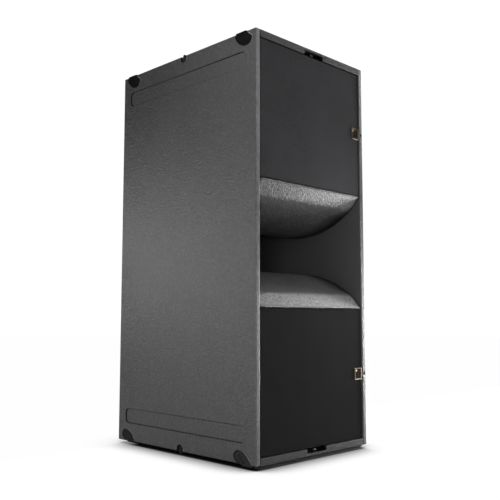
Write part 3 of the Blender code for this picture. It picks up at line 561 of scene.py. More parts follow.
# The end panels' paint is a darker copy of the panel paint, as painted shade on their front edges
PAINT_ENDS = make_paint("textured_paint_ends", base=0.0037, light=0.0084, wear=0.15,
                        specular=0.22, rough=0.5, scuffs=0.0)
# The two boards differ only in the painted highlight on their noses
PAINT_VENT = {
    "upper": make_paint("textured_paint_vent_upper", nose=(0.88, 1.50), **VENT_LOOK),
    "lower": make_paint("textured_paint_vent_lower", nose=(1.30, 2.10), **VENT_LOOK),
}
PLY = make_ply("birch_ply")
RAIL = make_powder("rail_coat", base=0.0026, rough=0.60, wear=0.35, steel=0.10, specular=0.13)
ARM = make_powder("arm_coat", base=0.0030, rough=0.55, wear=0.35, steel=0.12, specular=0.15)
RAIL_FRONT = make_powder("rail_coat_front", base=0.0026, rough=0.60, wear=0.35, steel=0.10,
                         specular=0.22)
paint_front(RAIL_FRONT, x_from=LEFT_LO.x + 0.016, z_from=0.0048)
# Darker copies of the rail and arm coats for the upper end, as painted shade
RAIL_TOP = make_powder("rail_coat_top", base=0.0013, rough=0.62, wear=0.25, steel=0.06,
                       specular=0.06)
ARM_TOP = make_powder("arm_coat_top", base=0.0015, rough=0.60, wear=0.25, steel=0.07,
                      specular=0.07)
# One cloth, in a lighter copy for the upper grille and a darker copy for the lower one, as painted
# light and shade
CLOTH = {
    "upper": make_cloth("acoustic_cloth_upper", base=(0.0128, 0.0126, 0.0138),
                        light=(0.0318, 0.0312, 0.0340), sheen=0.04),
    "lower": make_cloth("acoustic_cloth_lower", base=(0.0033, 0.0033, 0.0034),
                        light=(0.0078, 0.0078, 0.0080), sheen=0.02),
}
PLASTIC = make_plastic("moulded_plastic", base=0.0035, rough=0.55)
GRILLE_STEEL = make_powder("grille_coat", base=0.012, rough=0.45, wear=0.2)
ZINC = make_metal("zinc_plate", dark=(0.42, 0.42, 0.43), light=(0.62, 0.62, 0.63), rough=0.34)
PIN = make_metal("pin_steel", dark=(0.36, 0.36, 0.37), light=(0.6, 0.6, 0.61), rough=0.28,
                 stretch=(30, 30, 1))
BADGE_GOLD = make_metal("badge_gold", dark=(0.22, 0.18, 0.13), light=(0.36, 0.30, 0.22),
                        rough=0.44, stretch=(1, 1, 40))
BADGE_DARK = make_metal("badge_brown", dark=(0.0060, 0.0038, 0.0030),
                        light=(0.0100, 0.0066, 0.0052), rough=0.72, stretch=(40, 1, 1),
                        metal=0.0, specular=0.03)
ALLOY = make_metal("cast_alloy", dark=(0.06, 0.06, 0.062), light=(0.12, 0.12, 0.122), rough=0.55,
                   stretch=(1, 1, 1), bump=0.8, metal=0.6, scale=220.0)
FERRITE = make_metal("ferrite", dark=(0.05, 0.05, 0.053), light=(0.10, 0.10, 0.104), rough=0.6,
                     stretch=(1, 1, 1), bump=0.9, metal=0.1, scale=300.0)
BAFFLE = make_ply("baffle_ply")
blacken_front(BAFFLE, y_to=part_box("baffle_lower")[1].y - 0.0005)
CONE = make_cone_paper("pressed_paper")
SURROUND = make_weave("surround_cloth", dark=(0.010, 0.010, 0.010), light=(0.035, 0.035, 0.036))
SPIDER = make_weave("spider_cloth", dark=(0.30, 0.18, 0.06), light=(0.62, 0.42, 0.18))
COIL = make_coil("copper_winding")
CABLE = make_plastic("cable_jacket", base=0.012, rough=0.38)
LATCH = make_plastic("latch_plastic", base=0.018, rough=0.45)
SLOT_BLACK = make_plastic("slot_black", base=0.0006, rough=0.80, specular=0.02)
RUBBER = make_plastic("grip_rubber", base=0.010, rough=0.62)
SCREW = make_metal("black_screw", dark=(0.02, 0.02, 0.021), light=(0.05, 0.05, 0.052), rough=0.38,
                   stretch=(1, 1, 1), bump=0.5, metal=0.7, scale=200.0)

# (start of the piece's name, material); the first match is used
MATERIAL_BY_PREFIX = [
    ("side_panel_left", PAINT_LEFT), ("side_panel_right", PAINT_RIGHT),
    ("end_panel", PAINT_ENDS), ("rear_panel", PAINT),
    ("vent_lip_upper", PAINT_VENT["upper"]), ("vent_lip_lower", PAINT_VENT["lower"]),
    ("baffle", BAFFLE), ("brace_shelf", PLY),
    ("grille_plate", GRILLE_STEEL), ("grille_cloth", CLOTH["upper"]),
    ("grille_badge", BADGE_DARK), ("grille_catch", PLASTIC),
    ("driver_basket", ALLOY), ("driver_surround", SURROUND),
    ("driver_cone", CONE), ("driver_dust_cap", CONE),
    ("driver_voice_coil", COIL), ("driver_spider", SPIDER),
    ("driver_top_plate", ZINC), ("driver_t_yoke", ZINC),
    ("driver_magnet", FERRITE), ("driver_lead", CABLE),
    ("rigging_rail_top", RAIL_TOP), ("link_arm_top", ARM_TOP),
    ("rigging_rail_bottom_front", RAIL_FRONT), ("rigging_rail", RAIL),
    ("centre_guide", RAIL), ("link_arm", ARM), ("pull_pin", PIN),
    ("connector_plate", RAIL), ("socket", PLASTIC),
    ("stacking_runner", PLASTIC), ("handle_dish", PLASTIC),
]

# (starts of names, bevel width, segments)
EDGE_ROUNDING = [
    (("side_panel",), 0.0011, 2),
    (("end_panel", "rear_panel", "rigging_rail"), 0.0009, 2),
    (("handle_dish", "centre_guide", "link_arm"), 0.0008, 2),
    (("stacking_runner",), 0.0005, 1),
]


# ============================================================== mesh helpers
def smooth(ob, angle):
    """Smooth shading, sharp where faces meet at more than angle degrees."""
    ob.data.shade_smooth()
    ob.data.set_sharp_from_angle(angle=math.radians(angle))
    return ob


def new_object(name, mesh, material):
    """A new piece that moves with the cabinet."""
    ob = bpy.data.objects.new(name, mesh)
    SCENE.collection.objects.link(ob)
    ob.data.materials.append(material)
    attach(ob, "cabinet")
    return ob


def loft(name, rings, material, cap=True, angle=35):
    """Closed rings of equal length, joined in turn."""
    count = len(rings[0])
    faces = []
    for i in range(len(rings) - 1):
        for j in range(count):
            k = (j + 1) % count
            faces.append((i * count + j, i * count + k, (i + 1) * count + k, (i + 1) * count + j))
    if cap:
        faces.append(tuple(range(count - 1, -1, -1)))
        faces.append(tuple((len(rings) - 1) * count + j for j in range(count)))
    mesh = bpy.data.meshes.new(name)
    mesh.from_pydata([tuple(point) for ring in rings for point in ring], [], faces)
    mesh.validate()
    bm = bmesh.new()
    bm.from_mesh(mesh)
    bmesh.ops.recalc_face_normals(bm, faces=bm.faces)
    bm.to_mesh(mesh)
    bm.free()
    return smooth(new_object(name, mesh, material), angle)


def arc(cx, cy, radius, start, end, steps):
    """Points on an arc, angles in degrees."""
    angles = [math.radians(start + (end - start) * i / steps) for i in range(steps + 1)]
    return [(cx + radius * math.cos(a), cy + radius * math.sin(a)) for a in angles]


def rounded_rectangle(x0, x1, y0, y1, r, steps):
    return (arc(x1 - r, y0 + r, r, -90, 0, steps) + arc(x1 - r, y1 - r, r, 0, 90, steps)
            + arc(x0 + r, y1 - r, r, 90, 180, steps) + arc(x0 + r, y0 + r, r, 180, 270, steps))


def rounded_box(name, lo, hi, radius, material):
    """Box with every edge rounded, between two frame points."""
    bm = bmesh.new()
    bmesh.ops.create_cube(bm, size=1.0)
    centre = (Vector(lo) + Vector(hi)) / 2
    size = Vector(hi) - Vector(lo)
    for v in bm.verts:
        v.co = Vector([centre[i] + v.co[i] * abs(size[i]) for i in range(3)])
    bmesh.ops.bevel(bm, geom=bm.edges[:], offset=radius, segments=3, profile=0.5,
                    affect="EDGES", clamp_overlap=True)
    mesh = bpy.data.meshes.new(name)
    bm.to_mesh(mesh)
    bm.free()
    return smooth(new_object(name, mesh, material), 40)


def turned_ring(at, axis, radius, along, count, corners=None):
    """Ring about an axis at a distance along it; a polygon where corners is given."""
    side = axis.orthogonal().normalized()
    across = axis.cross(side)
    ring = []
    for i in range(count):
        angle = 2 * math.pi * i / count
        reach = radius
        if corners:
            off_flat = (angle % (2 * math.pi / corners)) - math.pi / corners
            reach = radius * math.cos(math.pi / corners) / math.cos(off_flat)
        ring.append(Vector(at) + axis * along + side * (reach * math.cos(angle))
                    + across * (reach * math.sin(angle)))
    return ring


def make_screw(name, at, axis, radius, material, height):
    """Button head with a hexagon socket, head on the +axis side of at."""
    stations = [  # (radius, distance along the axis, corners)
        (radius, -0.0004, None), (radius, height * 0.35, None),
        (radius * 0.93, height * 0.72, None), (radius * 0.78, height * 0.95, None),
        (radius * 0.60, height, None),
        (radius * 0.50, height, 6), (radius * 0.46, height * 0.05, 6),
        (radius * 0.12, 0.0, None),
    ]
    axis = Vector(axis).normalized()
    rings = [turned_ring(at, axis, r, along, 24, corners) for r, along, corners in stations]
    return loft(name, rings, material, angle=28)


# ========================================================== the frame's pieces
def dress_pieces():
    for name, ob in NODES.items():
        material = next(m for prefix, m in MATERIAL_BY_PREFIX if name.startswith(prefix))
        ob.data.materials.clear()
        ob.data.materials.append(material)
        smooth(ob, 32)
        for prefixes, width, segments in EDGE_ROUNDING:
            if name.startswith(prefixes):
                modifier = ob.modifiers.new("edge", "BEVEL")
                modifier.width = width
                modifier.segments = segments
                modifier.limit_method = "ANGLE"
                modifier.angle_limit = math.radians(50)


# =============================================================== vent boards
# Millimetres: y from the front edge, height from the board's grille edge.
LIP_LO, LIP_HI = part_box("vent_lip_lower")
LIP_LIFT = (LIP_LO.z - LEFT_LO.z) / MM - 1.0      # body height of a board height of 0
LIP_BACK = (LIP_HI.y - LEFT_LO.y) / MM
LIP_FRONT, LIP_FRONT_HEIGHT = 2.0, 3.0
NOSE_END, NOSE_HEIGHT = 37.0, 46.5                # the flat nose stops here at a crease
CURVE_END, CURVE_RADIUS = 268.0, 362.0
THROAT_HEIGHT = 130.0
CREASE_SOFTNESS = 3.2
BULLNOSE_RADIUS = 10.0
LIP_STATIONS = [(2.0, 1.25, 26), (34.5, 0.5, 12), (40.5, 1.75, 26), (86, 6.0, 36)]  # first, step, count
LIP_MIN_HEIGHT = 1.4

# (y, height) of the board's hidden side, from back to front
LIP_BACK_OUTLINE = [
    (268, 110.0), (244, 109.2), (220, 106.5), (200, 103.0), (180, 98.5), (160, 93.0),
    (145, 88.0), (130, 82.0), (115, 75.0), (100, 67.5), (84, 58.5), (72, 51.0),
    (60, 42.5), (44, 31.0), (33, 20.5), (19, 1.6), (11, 1.4), (2.2, 1.4),
]

# Rounding of the board's ends towards the side panels
END_RADIUS = 14.0
END_STEPS = [0.0, 0.2, 0.8, 1.8, 3.2, 5.0, 7.2, 9.6, 12.0, END_RADIUS]
END_DEPTH_SCALE = 0.8
HIDDEN_SIDE_SCALE = 0.35
SPAN_STEPS = 60


def lip_height(y):
    """Flat raked nose, then a curve that levels out at the throat."""
    if y <= NOSE_END:
        rise = (y - LIP_FRONT) * (NOSE_HEIGHT - LIP_FRONT_HEIGHT) / (NOSE_END - LIP_FRONT)
        return LIP_FRONT_HEIGHT + rise
    if y >= CURVE_END:
        return THROAT_HEIGHT

    def drop(at):
        return CURVE_RADIUS - math.sqrt(CURVE_RADIUS * CURVE_RADIUS - (CURVE_END - at) ** 2)

    return THROAT_HEIGHT - (THROAT_HEIGHT - NOSE_HEIGHT) / drop(NOSE_END) * drop(y)


def lip_show_outline():
    """(y, height) of the show surface: nose, soft crease, curve and bullnosed back end."""
    outline = []
    for first, step, count in LIP_STATIONS:
        for y in (first + step * i for i in range(count)):
            heights = [lip_height(max(LIP_FRONT, y + CREASE_SOFTNESS * offset))
                       for offset in (-1, -0.5, 0, 0.5, 1)]
            outline.append((y, sum(heights) / 5.0))
    return outline + arc(LIP_BACK - BULLNOSE_RADIUS, THROAT_HEIGHT - BULLNOSE_RADIUS,
                         BULLNOSE_RADIUS, 90, -90, 14)


def outward_directions(outline):
    """Unit vector away from the inside at each point of a closed outline."""
    count = len(outline)
    pairs = [(outline[i], outline[(i + 1) % count]) for i in range(count)]
    twice_area = sum(a[0] * b[1] - b[0] * a[1] for a, b in pairs)
    sign = 1.0 if twice_area > 0 else -1.0
    directions = []
    for i in range(count):
        before, after = outline[i - 1], outline[(i + 1) % count]
        dy, dh = after[0] - before[0], after[1] - before[1]
        length = math.hypot(dy, dh) or 1.0
        directions.append((sign * dh / length, -sign * dy / length))
    return directions


def make_vent_lip(half):
    node = "vent_lip_" + half
    lo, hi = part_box(node)
    show = lip_show_outline()
    outline = show + LIP_BACK_OUTLINE
    outward = outward_directions(outline)
    x0, x1 = (lo.x - LEFT_LO.x) / MM, (hi.x - LEFT_LO.x) / MM
    flat = x1 - x0 - 2 * END_RADIUS
    stations = ([x0 + step for step in END_STEPS]
                + [x0 + END_RADIUS + flat * i / SPAN_STEPS for i in range(1, SPAN_STEPS)]
                + [x1 - step for step in reversed(END_STEPS)])
    rings = []
    for x in stations:
        inset = min(x - x0, x1 - x)
        recess = 0.0
        if inset < END_RADIUS:
            chord = math.sqrt(max(0.0, END_RADIUS * END_RADIUS - (END_RADIUS - inset) ** 2))
            recess = END_DEPTH_SCALE * (END_RADIUS - chord)
        ring = []
        for k, ((y, height), (out_y, out_h)) in enumerate(zip(outline, outward)):
            scale = 1.0 if k < len(show) - 8 else HIDDEN_SIDE_SCALE
            height = max(LIP_MIN_HEIGHT, height - out_h * recess * scale)
            z = LIP_LIFT + height if half == "lower" else LENGTH / MM - LIP_LIFT - height
            ring.append(body_point(x, max(LIP_FRONT, y - out_y * recess * scale), z))
        rings.append(ring)
    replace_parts(loft(node + "_board", rings, PAINT_VENT[half], angle=40), node)


# ============================================================= grille fabric
FABRIC_GAP = 0.0003                               # left free round the fabric
FABRIC_EDGE_STEPS = [0.0, 0.0003, 0.0008, 0.0015, 0.0028]
FABRIC_EDGE_RADIUS = FABRIC_EDGE_STEPS[-1]
FABRIC_CELL = 0.0075
FABRIC_PINNED = 0.0035                            # width of the band held by the frame
FABRIC_SEED = {"upper": 11, "lower": 23}
HANG_FRAMES = 18


def fabric_stations(low, high):
    inner = high - low - 2 * FABRIC_EDGE_RADIUS
    count = max(4, round(inner / FABRIC_CELL))
    return ([low + edge for edge in FABRIC_EDGE_STEPS]
            + [low + FABRIC_EDGE_RADIUS + inner * i / count for i in range(1, count)]
            + [high - edge for edge in reversed(FABRIC_EDGE_STEPS)])


def hang(ob):
    """Let the stretched fabric settle a little under its own weight."""
    cloth = ob.modifiers.new("hang", "CLOTH")
    settings = cloth.settings
    settings.quality = 6
    settings.mass = 0.25
    settings.air_damping = 2.0
    settings.tension_stiffness = 12
    settings.compression_stiffness = 12
    settings.shear_stiffness = 3
    settings.bending_stiffness = 0.4
    settings.vertex_group_mass = "pins"
    settings.shrink_min = -0.006
    settings.effector_weights.gravity = 1.0
    cloth.point_cache.frame_start = 1
    cloth.point_cache.frame_end = HANG_FRAMES
    cloth.collision_settings.use_collision = False
    for number in range(1, HANG_FRAMES + 1):
        SCENE.frame_set(number)
    bpy.context.view_layer.update()
    evaluated = ob.evaluated_get(bpy.context.evaluated_depsgraph_get())
    mesh = bpy.data.meshes.new_from_object(evaluated)
    ob.modifiers.clear()
    ob.data = mesh
    SCENE.frame_set(1)


def clamp(value, limit):
    return max(-limit, min(limit, value))


def make_grille(half):
    node = "grille_cloth_" + half
    lo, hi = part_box(node)
    x0, x1 = lo.x + FABRIC_GAP, hi.x - FABRIC_GAP
    z0, z1 = lo.z + FABRIC_GAP, hi.z - FABRIC_GAP
    y_face = lo.y + 0.0006
    radius = FABRIC_EDGE_RADIUS

    def from_edge(x, z):
        return min(x - x0, x1 - x, z - z0, z1 - z)

    xs, zs = fabric_stations(x0, x1), fabric_stations(z0, z1)
    verts = []
    for z in zs:
        for x in xs:
            inset = from_edge(x, z)
            y = y_face
            if inset < radius:
                y = y_face + radius - math.sqrt(max(0.0, radius * radius - (radius - inset) ** 2))
            verts.append((x, y, z))
    row = len(xs)
    faces = [(j * row + i, j * row + i + 1, (j + 1) * row + i + 1, (j + 1) * row + i)
             for j in range(len(zs) - 1) for i in range(row - 1)]
    mesh = bpy.data.meshes.new(node + "_fabric")
    mesh.from_pydata(verts, [], faces)
    ob = bpy.data.objects.new(node + "_fabric", mesh)
    SCENE.collection.objects.link(ob)
    pins = ob.vertex_groups.new(name="pins")
    pinned = [i for i, (x, y, z) in enumerate(verts) if from_edge(x, z) < FABRIC_PINNED]
    pins.add(pinned, 1.0, "REPLACE")
    rest = [v.co.copy() for v in mesh.vertices]
    hang(ob)

    # keep the sag within bounds and add a faint waviness, both fading out at the edges
    rng = random.Random(FABRIC_SEED[half])
    phase = [rng.uniform(0, 6.28) for _ in range(4)]
    for v, flat in zip(ob.data.vertices, rest):
        moved = v.co - flat
        x, y, z = flat
        fade = min(1.0, max(0.0, (from_edge(x, z) - FABRIC_PINNED) / 0.03))
        wave = 0.00022 * (math.sin(x * 55 + phase[0] + 1.2 * math.sin(z * 9 + phase[2]))
                          + math.sin(z * 24 + phase[1] + x * 14))
        v.co = Vector((x + clamp(moved.x, 0.001) * fade,
                       max(y_face - 0.0004, y + (clamp(moved.y * 0.5, 0.0006) + wave) * fade),
                       z + clamp(moved.z, 0.001) * fade))
    ob.data.materials.clear()
    ob.data.materials.append(CLOTH[half])
    solidify = ob.modifiers.new("thick", "SOLIDIFY")
    solidify.thickness = 0.0006
    solidify.offset = -1.0
    face_forward(ob.data)
    smooth(ob, 60)
    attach(ob, "cabinet")
    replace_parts(ob, node)


def face_forward(mesh):
    """Turn an open sheet's faces to the front."""
    bm = bmesh.new()
    bm.from_mesh(mesh)
    bmesh.ops.recalc_face_normals(bm, faces=bm.faces)
    if sum(face.normal.y for face in bm.faces) > 0:
        bmesh.ops.reverse_faces(bm, faces=bm.faces)
    bm.to_mesh(mesh)
    bm.free()


# =================================================================== badges
BADGE_RADIUS = 0.0016
BADGE_INNER_RADIUS = BADGE_RADIUS * 0.6
BADGE_RIM = 0.0030                                # width of the frame round the plate
STUD_INSET = 0.0062
STUD_PROFILE = [  # (radius, depth behind the badge's face)
    (0.0040, 0.0012), (0.0040, 0.0008), (0.0036, 0.0005), (0.0026, 0.0002), (0.0012, 0.0001),
]
STUD_SIDES = 28


def make_badge(half):
    """A metal frame, a sunk plate, and a plain domed stud in its upper left."""
    node = "grille_badge_" + half
    lo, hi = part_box(node)
    y_face, y_back = lo.y, hi.y

    def rings(stations):
        """Rounded rectangles from (inset, y, corner radius)."""
        return [[Vector((x, y, z)) for x, z in rounded_rectangle(
            lo.x + inset, hi.x - inset, lo.z + inset, hi.z - inset, radius, 4)]
            for inset, y, radius in stations]

    frame_rings = rings([
        (0.0, y_back, BADGE_RADIUS),
        (0.0, y_face + 0.0005, BADGE_RADIUS),
        (0.0003, y_face + 0.0001, BADGE_RADIUS),
        (0.0007, y_face, BADGE_RADIUS),
        (BADGE_RIM - 0.0008, y_face, BADGE_INNER_RADIUS),
        (BADGE_RIM - 0.0003, y_face + 0.0002, BADGE_INNER_RADIUS),
        (BADGE_RIM, y_face + 0.0012, BADGE_INNER_RADIUS),
    ])
    plate_rings = rings([
        (0.0002, y_back, BADGE_RADIUS),
        (BADGE_RIM - 0.0004, y_back - 0.0001, 0.0006),
        (BADGE_RIM - 0.0001, y_face + 0.0011, 0.0006),
    ])
    stud_x, stud_z = lo.x + BADGE_RIM + STUD_INSET, hi.z - BADGE_RIM - STUD_INSET
    angles = [2 * math.pi * i / STUD_SIDES for i in range(STUD_SIDES)]
    stud_rings = [[Vector((stud_x + radius * math.cos(a), y_face + depth,
                           stud_z + radius * math.sin(a))) for a in angles]
                  for radius, depth in STUD_PROFILE]
    # painted shade on the frame's left upright and top rail
    metal = shaded_frame_copy(BADGE_GOLD, lo.x + BADGE_RIM, hi.z - BADGE_RIM, half)
    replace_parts(loft(node + "_frame", frame_rings, metal, cap=False), node)
    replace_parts(loft(node + "_plate", plate_rings, BADGE_DARK), node)
    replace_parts(loft(node + "_stud", stud_rings, BADGE_GOLD, angle=30), node)


# ============================================================ small hardware
CATCH_GAP = 0.0004
CATCH_CHEEK = 0.010                               # width of each cheek, with its gap
CATCH_RELIEF = 0.0050                             # depth of cheeks and tongue
TONGUE_HALF_WIDTH = 0.006
TONGUE_INSET = 0.0034


def make_catch(end):
    """Grille catch: a base, a cheek at each side and a tongue between them."""
    node = "grille_catch_" + end
    lo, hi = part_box(node)
    x0, x1 = lo.x + CATCH_GAP, hi.x - CATCH_GAP
    z0, z1 = lo.z + CATCH_GAP, hi.z - CATCH_GAP
    middle = (lo.x + hi.x) / 2
    y_relief = lo.y + CATCH_RELIEF
    parts = [
        rounded_box(node + "_base", (x0, lo.y + 0.0040, z0), (x1, hi.y, z1), 0.0008, SLOT_BLACK),
        rounded_box(node + "_cheek_l", (x0, lo.y, z0), (lo.x + CATCH_CHEEK, y_relief, z1),
                    0.0012, SLOT_BLACK),
        rounded_box(node + "_cheek_r", (hi.x - CATCH_CHEEK, lo.y, z0), (x1, y_relief, z1),
                    0.0012, SLOT_BLACK),
        rounded_box(node + "_tongue",
                    (middle - TONGUE_HALF_WIDTH, lo.y + 0.0006, lo.z + TONGUE_INSET),
                    (middle + TONGUE_HALF_WIDTH, y_relief, hi.z - TONGUE_INSET), 0.0012, LATCH),
    ]
    for part in parts:
        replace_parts(part, node)


def make_badge_side_screws():
    from_end = 245.0
    for half, z in (("lower", from_end), ("upper", LENGTH / MM - from_end)):
        make_screw("badge_side_screw_" + half, body_point(541.0, 3.45, z), (0, -1, 0),
                   radius=0.0046, material=SCREW, height=0.0014)


def make_corner_screws(node, corners, inset, sink, radius, material, height):
    """Screws in the rear face of a piece, inset from the given (x, z) corners."""
    lo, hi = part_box(node)
    centre_x, centre_z = (lo.x + hi.x) / 2, (lo.z + hi.z) / 2
    reach_x, reach_z = (hi.x - lo.x) / 2 - inset, (hi.z - lo.z) / 2 - inset
    for i, (side_x, side_z) in enumerate(corners):
        at = (centre_x + side_x * reach_x, hi.y - sink, centre_z + side_z * reach_z)
        make_screw(node + "_screw_%d" % i, at, (0, 1, 0), radius, material, height)


GRIP_LENGTH = 0.124
GRIP_RADIUS, GRIP_RIB_FOOT, GRIP_RIB_TOP = 0.0112, 0.0126, 0.0132
GRIP_RIBS = 14
GRIP_END_MARGIN = 0.002
GRIP_FROM_END = 18.0 * MM                         # bar axis from the cabinet's end face
# (part of a rib's pitch, radius)
RIB_PROFILE = [(0.12, GRIP_RIB_FOOT), (0.35, GRIP_RIB_TOP), (0.65, GRIP_RIB_TOP),
               (0.88, GRIP_RIB_FOOT)]


def make_handle_grip(end):
    """Ribbed sleeve on a handle bar that runs front to back."""
    lo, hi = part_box("handle_dish_" + end)
    z = LEFT_LO.z + (GRIP_FROM_END if end == "bottom" else LENGTH - GRIP_FROM_END)
    start = -GRIP_LENGTH / 2
    ribbed = GRIP_LENGTH - 2 * GRIP_END_MARGIN
    pitch = ribbed / GRIP_RIBS
    profile = [(GRIP_RADIUS, start)]
    for i in range(GRIP_RIBS):
        rib = start + GRIP_END_MARGIN + ribbed * i / GRIP_RIBS
        profile += [(radius, rib + pitch * part) for part, radius in RIB_PROFILE]
    profile.append((GRIP_RADIUS, start + GRIP_LENGTH))
    at = ((lo.x + hi.x) / 2, (lo.y + hi.y) / 2, z)
    axis = Vector((0, 1, 0))
    rings = [turned_ring(at, axis, radius, along, 48) for radius, along in profile]
    loft("handle_grip_" + end, rings, RUBBER, angle=50)


# ==================================================================== studio
CAMERA_AT = body_point(-1516.0, -1488.2, 440.8)
CAMERA_YAW = math.radians(45.042)                 # from +Y towards +X
CAMERA_PITCH = math.radians(5.415)
CAMERA_ROLL = math.radians(0.044)
CAMERA_LENS = 50.8788                             # millimetres, on a 36 mm sensor

# Soft light fields of the world, unseen by the camera:
# name: (strength, direction of the centre, sharpness)
WORLD_FIELDS = {
    "const": (0.000, None, 0),
    "zenith": (0.000, (0, 0, 1), 3),
    "left_mid": (0.000, (-1, 0.25, 0.25), 4),
    "left_high": (0.000, (-1, 0.0, 1.1), 4),
    "front_low": (0.000, (0.15, -1, 0.12), 6),
    "front_mid": (0.000, (0.1, -1, 0.6), 6),
    "front_high": (2.104, (0.1, -1, 1.4), 6),
    "right_mid": (0.000, (1, -0.5, 0.4), 4),
    "back": (0.000, (0.2, 1, 0.5), 3),
}

# Area lights: name: (watts, position, aim, width, height, spread in degrees)
LIGHTS = {
    "left_mid": (2.076, (-1.7, 0.45, 0.78), (-0.28, 0.1, 0.72), 0.9, 0.6, 120),
    "left_rear": (5.697, (-1.5, 1.5, 0.80), (-0.28, 0.3, 0.72), 0.8, 0.6, 120),
    "left_low": (3.941, (-1.6, -0.3, 0.25), (-0.28, 0.0, 0.45), 0.9, 0.3, 120),
    "left_top": (6.231, (-1.5, 0.2, 1.9), (-0.28, 0.0, 1.1), 0.9, 0.5, 120),
    "front_high": (21.572, (0.5, -2.3, 2.4), (0.0, -0.35, 1.1), 1.4, 0.8, 120),
    "front_right_high": (0.000, (1.7, -1.9, 1.8), (0.0, -0.35, 0.9), 0.9, 0.7, 120),
    "front_right_low": (1.447, (1.5, -1.6, 0.25), (0.1, -0.35, 0.6), 1.0, 0.35, 120),
    "floor_front": (0.000, (0.35, -0.95, 0.02), (0.2, -0.55, 0.9), 1.0, 0.5, 150),
    "right": (0.000, (2.0, -0.35, 1.1), (0.27, -0.3, 0.8), 0.5, 1.4, 120),
    "front_mid": (0.000, (0.3, -2.4, 0.95), (0.0, -0.35, 0.7), 0.8, 0.5, 120),
    "vent_fill": (1.489, (0.15, -1.1, 0.68), (0.2, -0.1, 0.68), 0.25, 0.15, 70),
    "right_high": (9.426, (2.1, -0.6, 1.9), (0.1, -0.33, 0.6), 0.7, 0.5, 120),
    "right_far_high": (0.000, (2.7, -1.2, 2.3), (0.1, -0.33, 0.8), 0.8, 0.8, 120),
    "right_low": (25.961, (2.3, -0.9, 0.30), (0.2, -0.33, 0.7), 0.7, 0.4, 120),
    "floor_right": (0.000, (1.45, -0.85, 0.02), (0.3, -0.33, 0.9), 0.7, 0.5, 150),
    "left_stile": (2.146, (-1.3, -1.2, 0.8), (-0.27, -0.35, 0.7), 0.2, 1.0, 90),
    "rear_fill": (26.0, (1.1, 2.5, 1.5), (0.0, 0.35, 0.7), 1.8, 1.4, 120),
    "top_back": (0.000, (0.5, 1.6, 2.6), (0.0, 0.0, 1.34), 1.2, 0.8, 120),
}


def make_camera():
    forward = Vector((math.sin(CAMERA_YAW) * math.cos(CAMERA_PITCH),
                      math.cos(CAMERA_YAW) * math.cos(CAMERA_PITCH), math.sin(CAMERA_PITCH)))
    level_right = Vector((math.cos(CAMERA_YAW), -math.sin(CAMERA_YAW), 0))
    level_up = level_right.cross(forward)
    right = level_right * math.cos(CAMERA_ROLL) + level_up * math.sin(CAMERA_ROLL)
    up = level_up * math.cos(CAMERA_ROLL) - level_right * math.sin(CAMERA_ROLL)
    data = bpy.data.cameras.new("camera")
    data.sensor_width = 36.0
    data.lens = CAMERA_LENS
    camera = bpy.data.objects.new("camera", data)
    SCENE.collection.objects.link(camera)
    rotation = Matrix((right, up, -forward)).transposed().to_4x4()
    camera.matrix_world = Matrix.Translation(CAMERA_AT) @ rotation
    SCENE.camera = camera
    SCENE.view_settings.view_transform = "Standard"
    SCENE.view_settings.look = "None"


def make_floor_material():
    """White paper; the camera sees pure white away from the contact shadow."""
    s = Surface.new("studio_white")
    s.finish(s.ramp(s.noise(3.0), [(0.3, 0.80), (0.7, 0.82)]), rough=0.9)
    occlusion = s.node("ShaderNodeAmbientOcclusion", "AO", {"Distance": 0.16}, samples=16)
    contact = s.ramp(occlusion, [(0.0, 0.0), (0.30, 0.012), (0.50, 0.25), (0.80, 0.93),
                                 (0.97, 1.05)])
    # the shadow is lighter behind the rear rail
    behind = s.ramp(s.position[1], [(0.265, 0.0), (0.32, 0.30)])
    seen = s.node("ShaderNodeEmission", inputs={"Color": s.mix(behind, contact, 0.85)})
    is_camera = s.node("ShaderNodeLightPath", "Is Camera Ray")
    lit = Field(s, s.bsdf.outputs[0])
    mixed = s.node("ShaderNodeMixShader", inputs={0: is_camera, 1: lit, 2: seen})
    s.link(mixed, s.output.inputs[0])
    return s.material


def make_floor():
    bm = bmesh.new()
    bmesh.ops.create_grid(bm, x_segments=1, y_segments=1, size=14.0)
    mesh = bpy.data.meshes.new("studio_floor")
    bm.to_mesh(mesh)
    bm.free()
    floor = bpy.data.objects.new("studio_floor", mesh)
    SCENE.collection.objects.link(floor)
    floor.location = (0, 0, -0.0004)
    mesh.materials.append(make_floor_material())


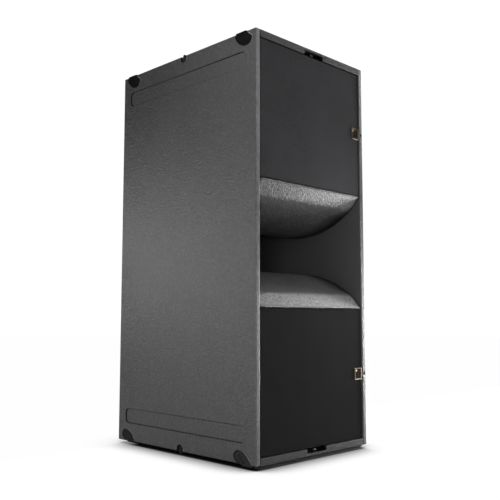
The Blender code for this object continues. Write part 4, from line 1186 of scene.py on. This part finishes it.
def make_world():
    """White to the camera; the sum of the light fields to everything else."""
    world = bpy.data.worlds.new("studio")
    SCENE.world = world
    world.use_nodes = True
    world.node_tree.nodes.clear()
    n = Nodes(world.node_tree)
    coords = n.node("ShaderNodeTexCoord", "Generated")
    direction = n.node("ShaderNodeVectorMath", inputs={0: coords}, operation="NORMALIZE")
    total = None
    for name, (strength, centre, sharpness) in WORLD_FIELDS.items():
        term = n.math("MULTIPLY", 1.0, strength)
        term.socket.node.name = "w_" + name
        if centre is not None:
            facing = n.node("ShaderNodeVectorMath", "Value",
                            {0: direction, 1: Vector(centre).normalized()},
                            operation="DOT_PRODUCT")
            lobe = n.math("MAXIMUM", facing, 0.0) ** float(sharpness)
            n.link(lobe, term.socket.node.inputs[0])
        total = term if total is None else total + term
    lighting = n.node("ShaderNodeBackground", inputs={"Strength": total})
    backdrop = n.node("ShaderNodeBackground", inputs={"Color": (1, 1, 1, 1), "Strength": 1.05})
    is_camera = n.node("ShaderNodeLightPath", "Is Camera Ray")
    mixed = n.node("ShaderNodeMixShader", inputs={0: is_camera, 1: lighting, 2: backdrop})
    output = n.tree.nodes.new("ShaderNodeOutputWorld")
    n.link(mixed, output.inputs[0])


def make_lights():
    for name, (power, at, aim, width, height, spread) in LIGHTS.items():
        data = bpy.data.lights.new("l_" + name, "AREA")
        data.shape = "RECTANGLE"
        data.size = width
        data.size_y = height
        data.energy = power
        data.spread = math.radians(spread)
        light = bpy.data.objects.new("l_" + name, data)
        SCENE.collection.objects.link(light)
        turn = (Vector(aim) - Vector(at)).to_track_quat("-Z", "Y").to_matrix().to_4x4()
        light.matrix_world = Matrix.Translation(Vector(at)) @ turn
        light.visible_camera = False


# ===================================================================== build
dress_pieces()
for end in ("bottom", "top"):
    make_catch(end)
make_badge_side_screws()
make_corner_screws("connector_plate", [(-1, -1), (1, -1), (-1, 1), (1, 1)], inset=0.009,
                   sink=0.0, radius=0.0042, material=SCREW, height=0.0016)
for socket in ("socket_in", "socket_link"):
    make_corner_screws(socket, [(-1, 1), (1, -1)], inset=0.0036, sink=0.0002, radius=0.0022,
                       material=ZINC, height=0.0009)
for end in ("bottom", "top"):
    make_handle_grip(end)
for half in ("upper", "lower"):
    make_vent_lip(half)
for half in ("upper", "lower"):
    make_grille(half)
    make_badge(half)
make_camera()
make_floor()
make_world()
make_lights()
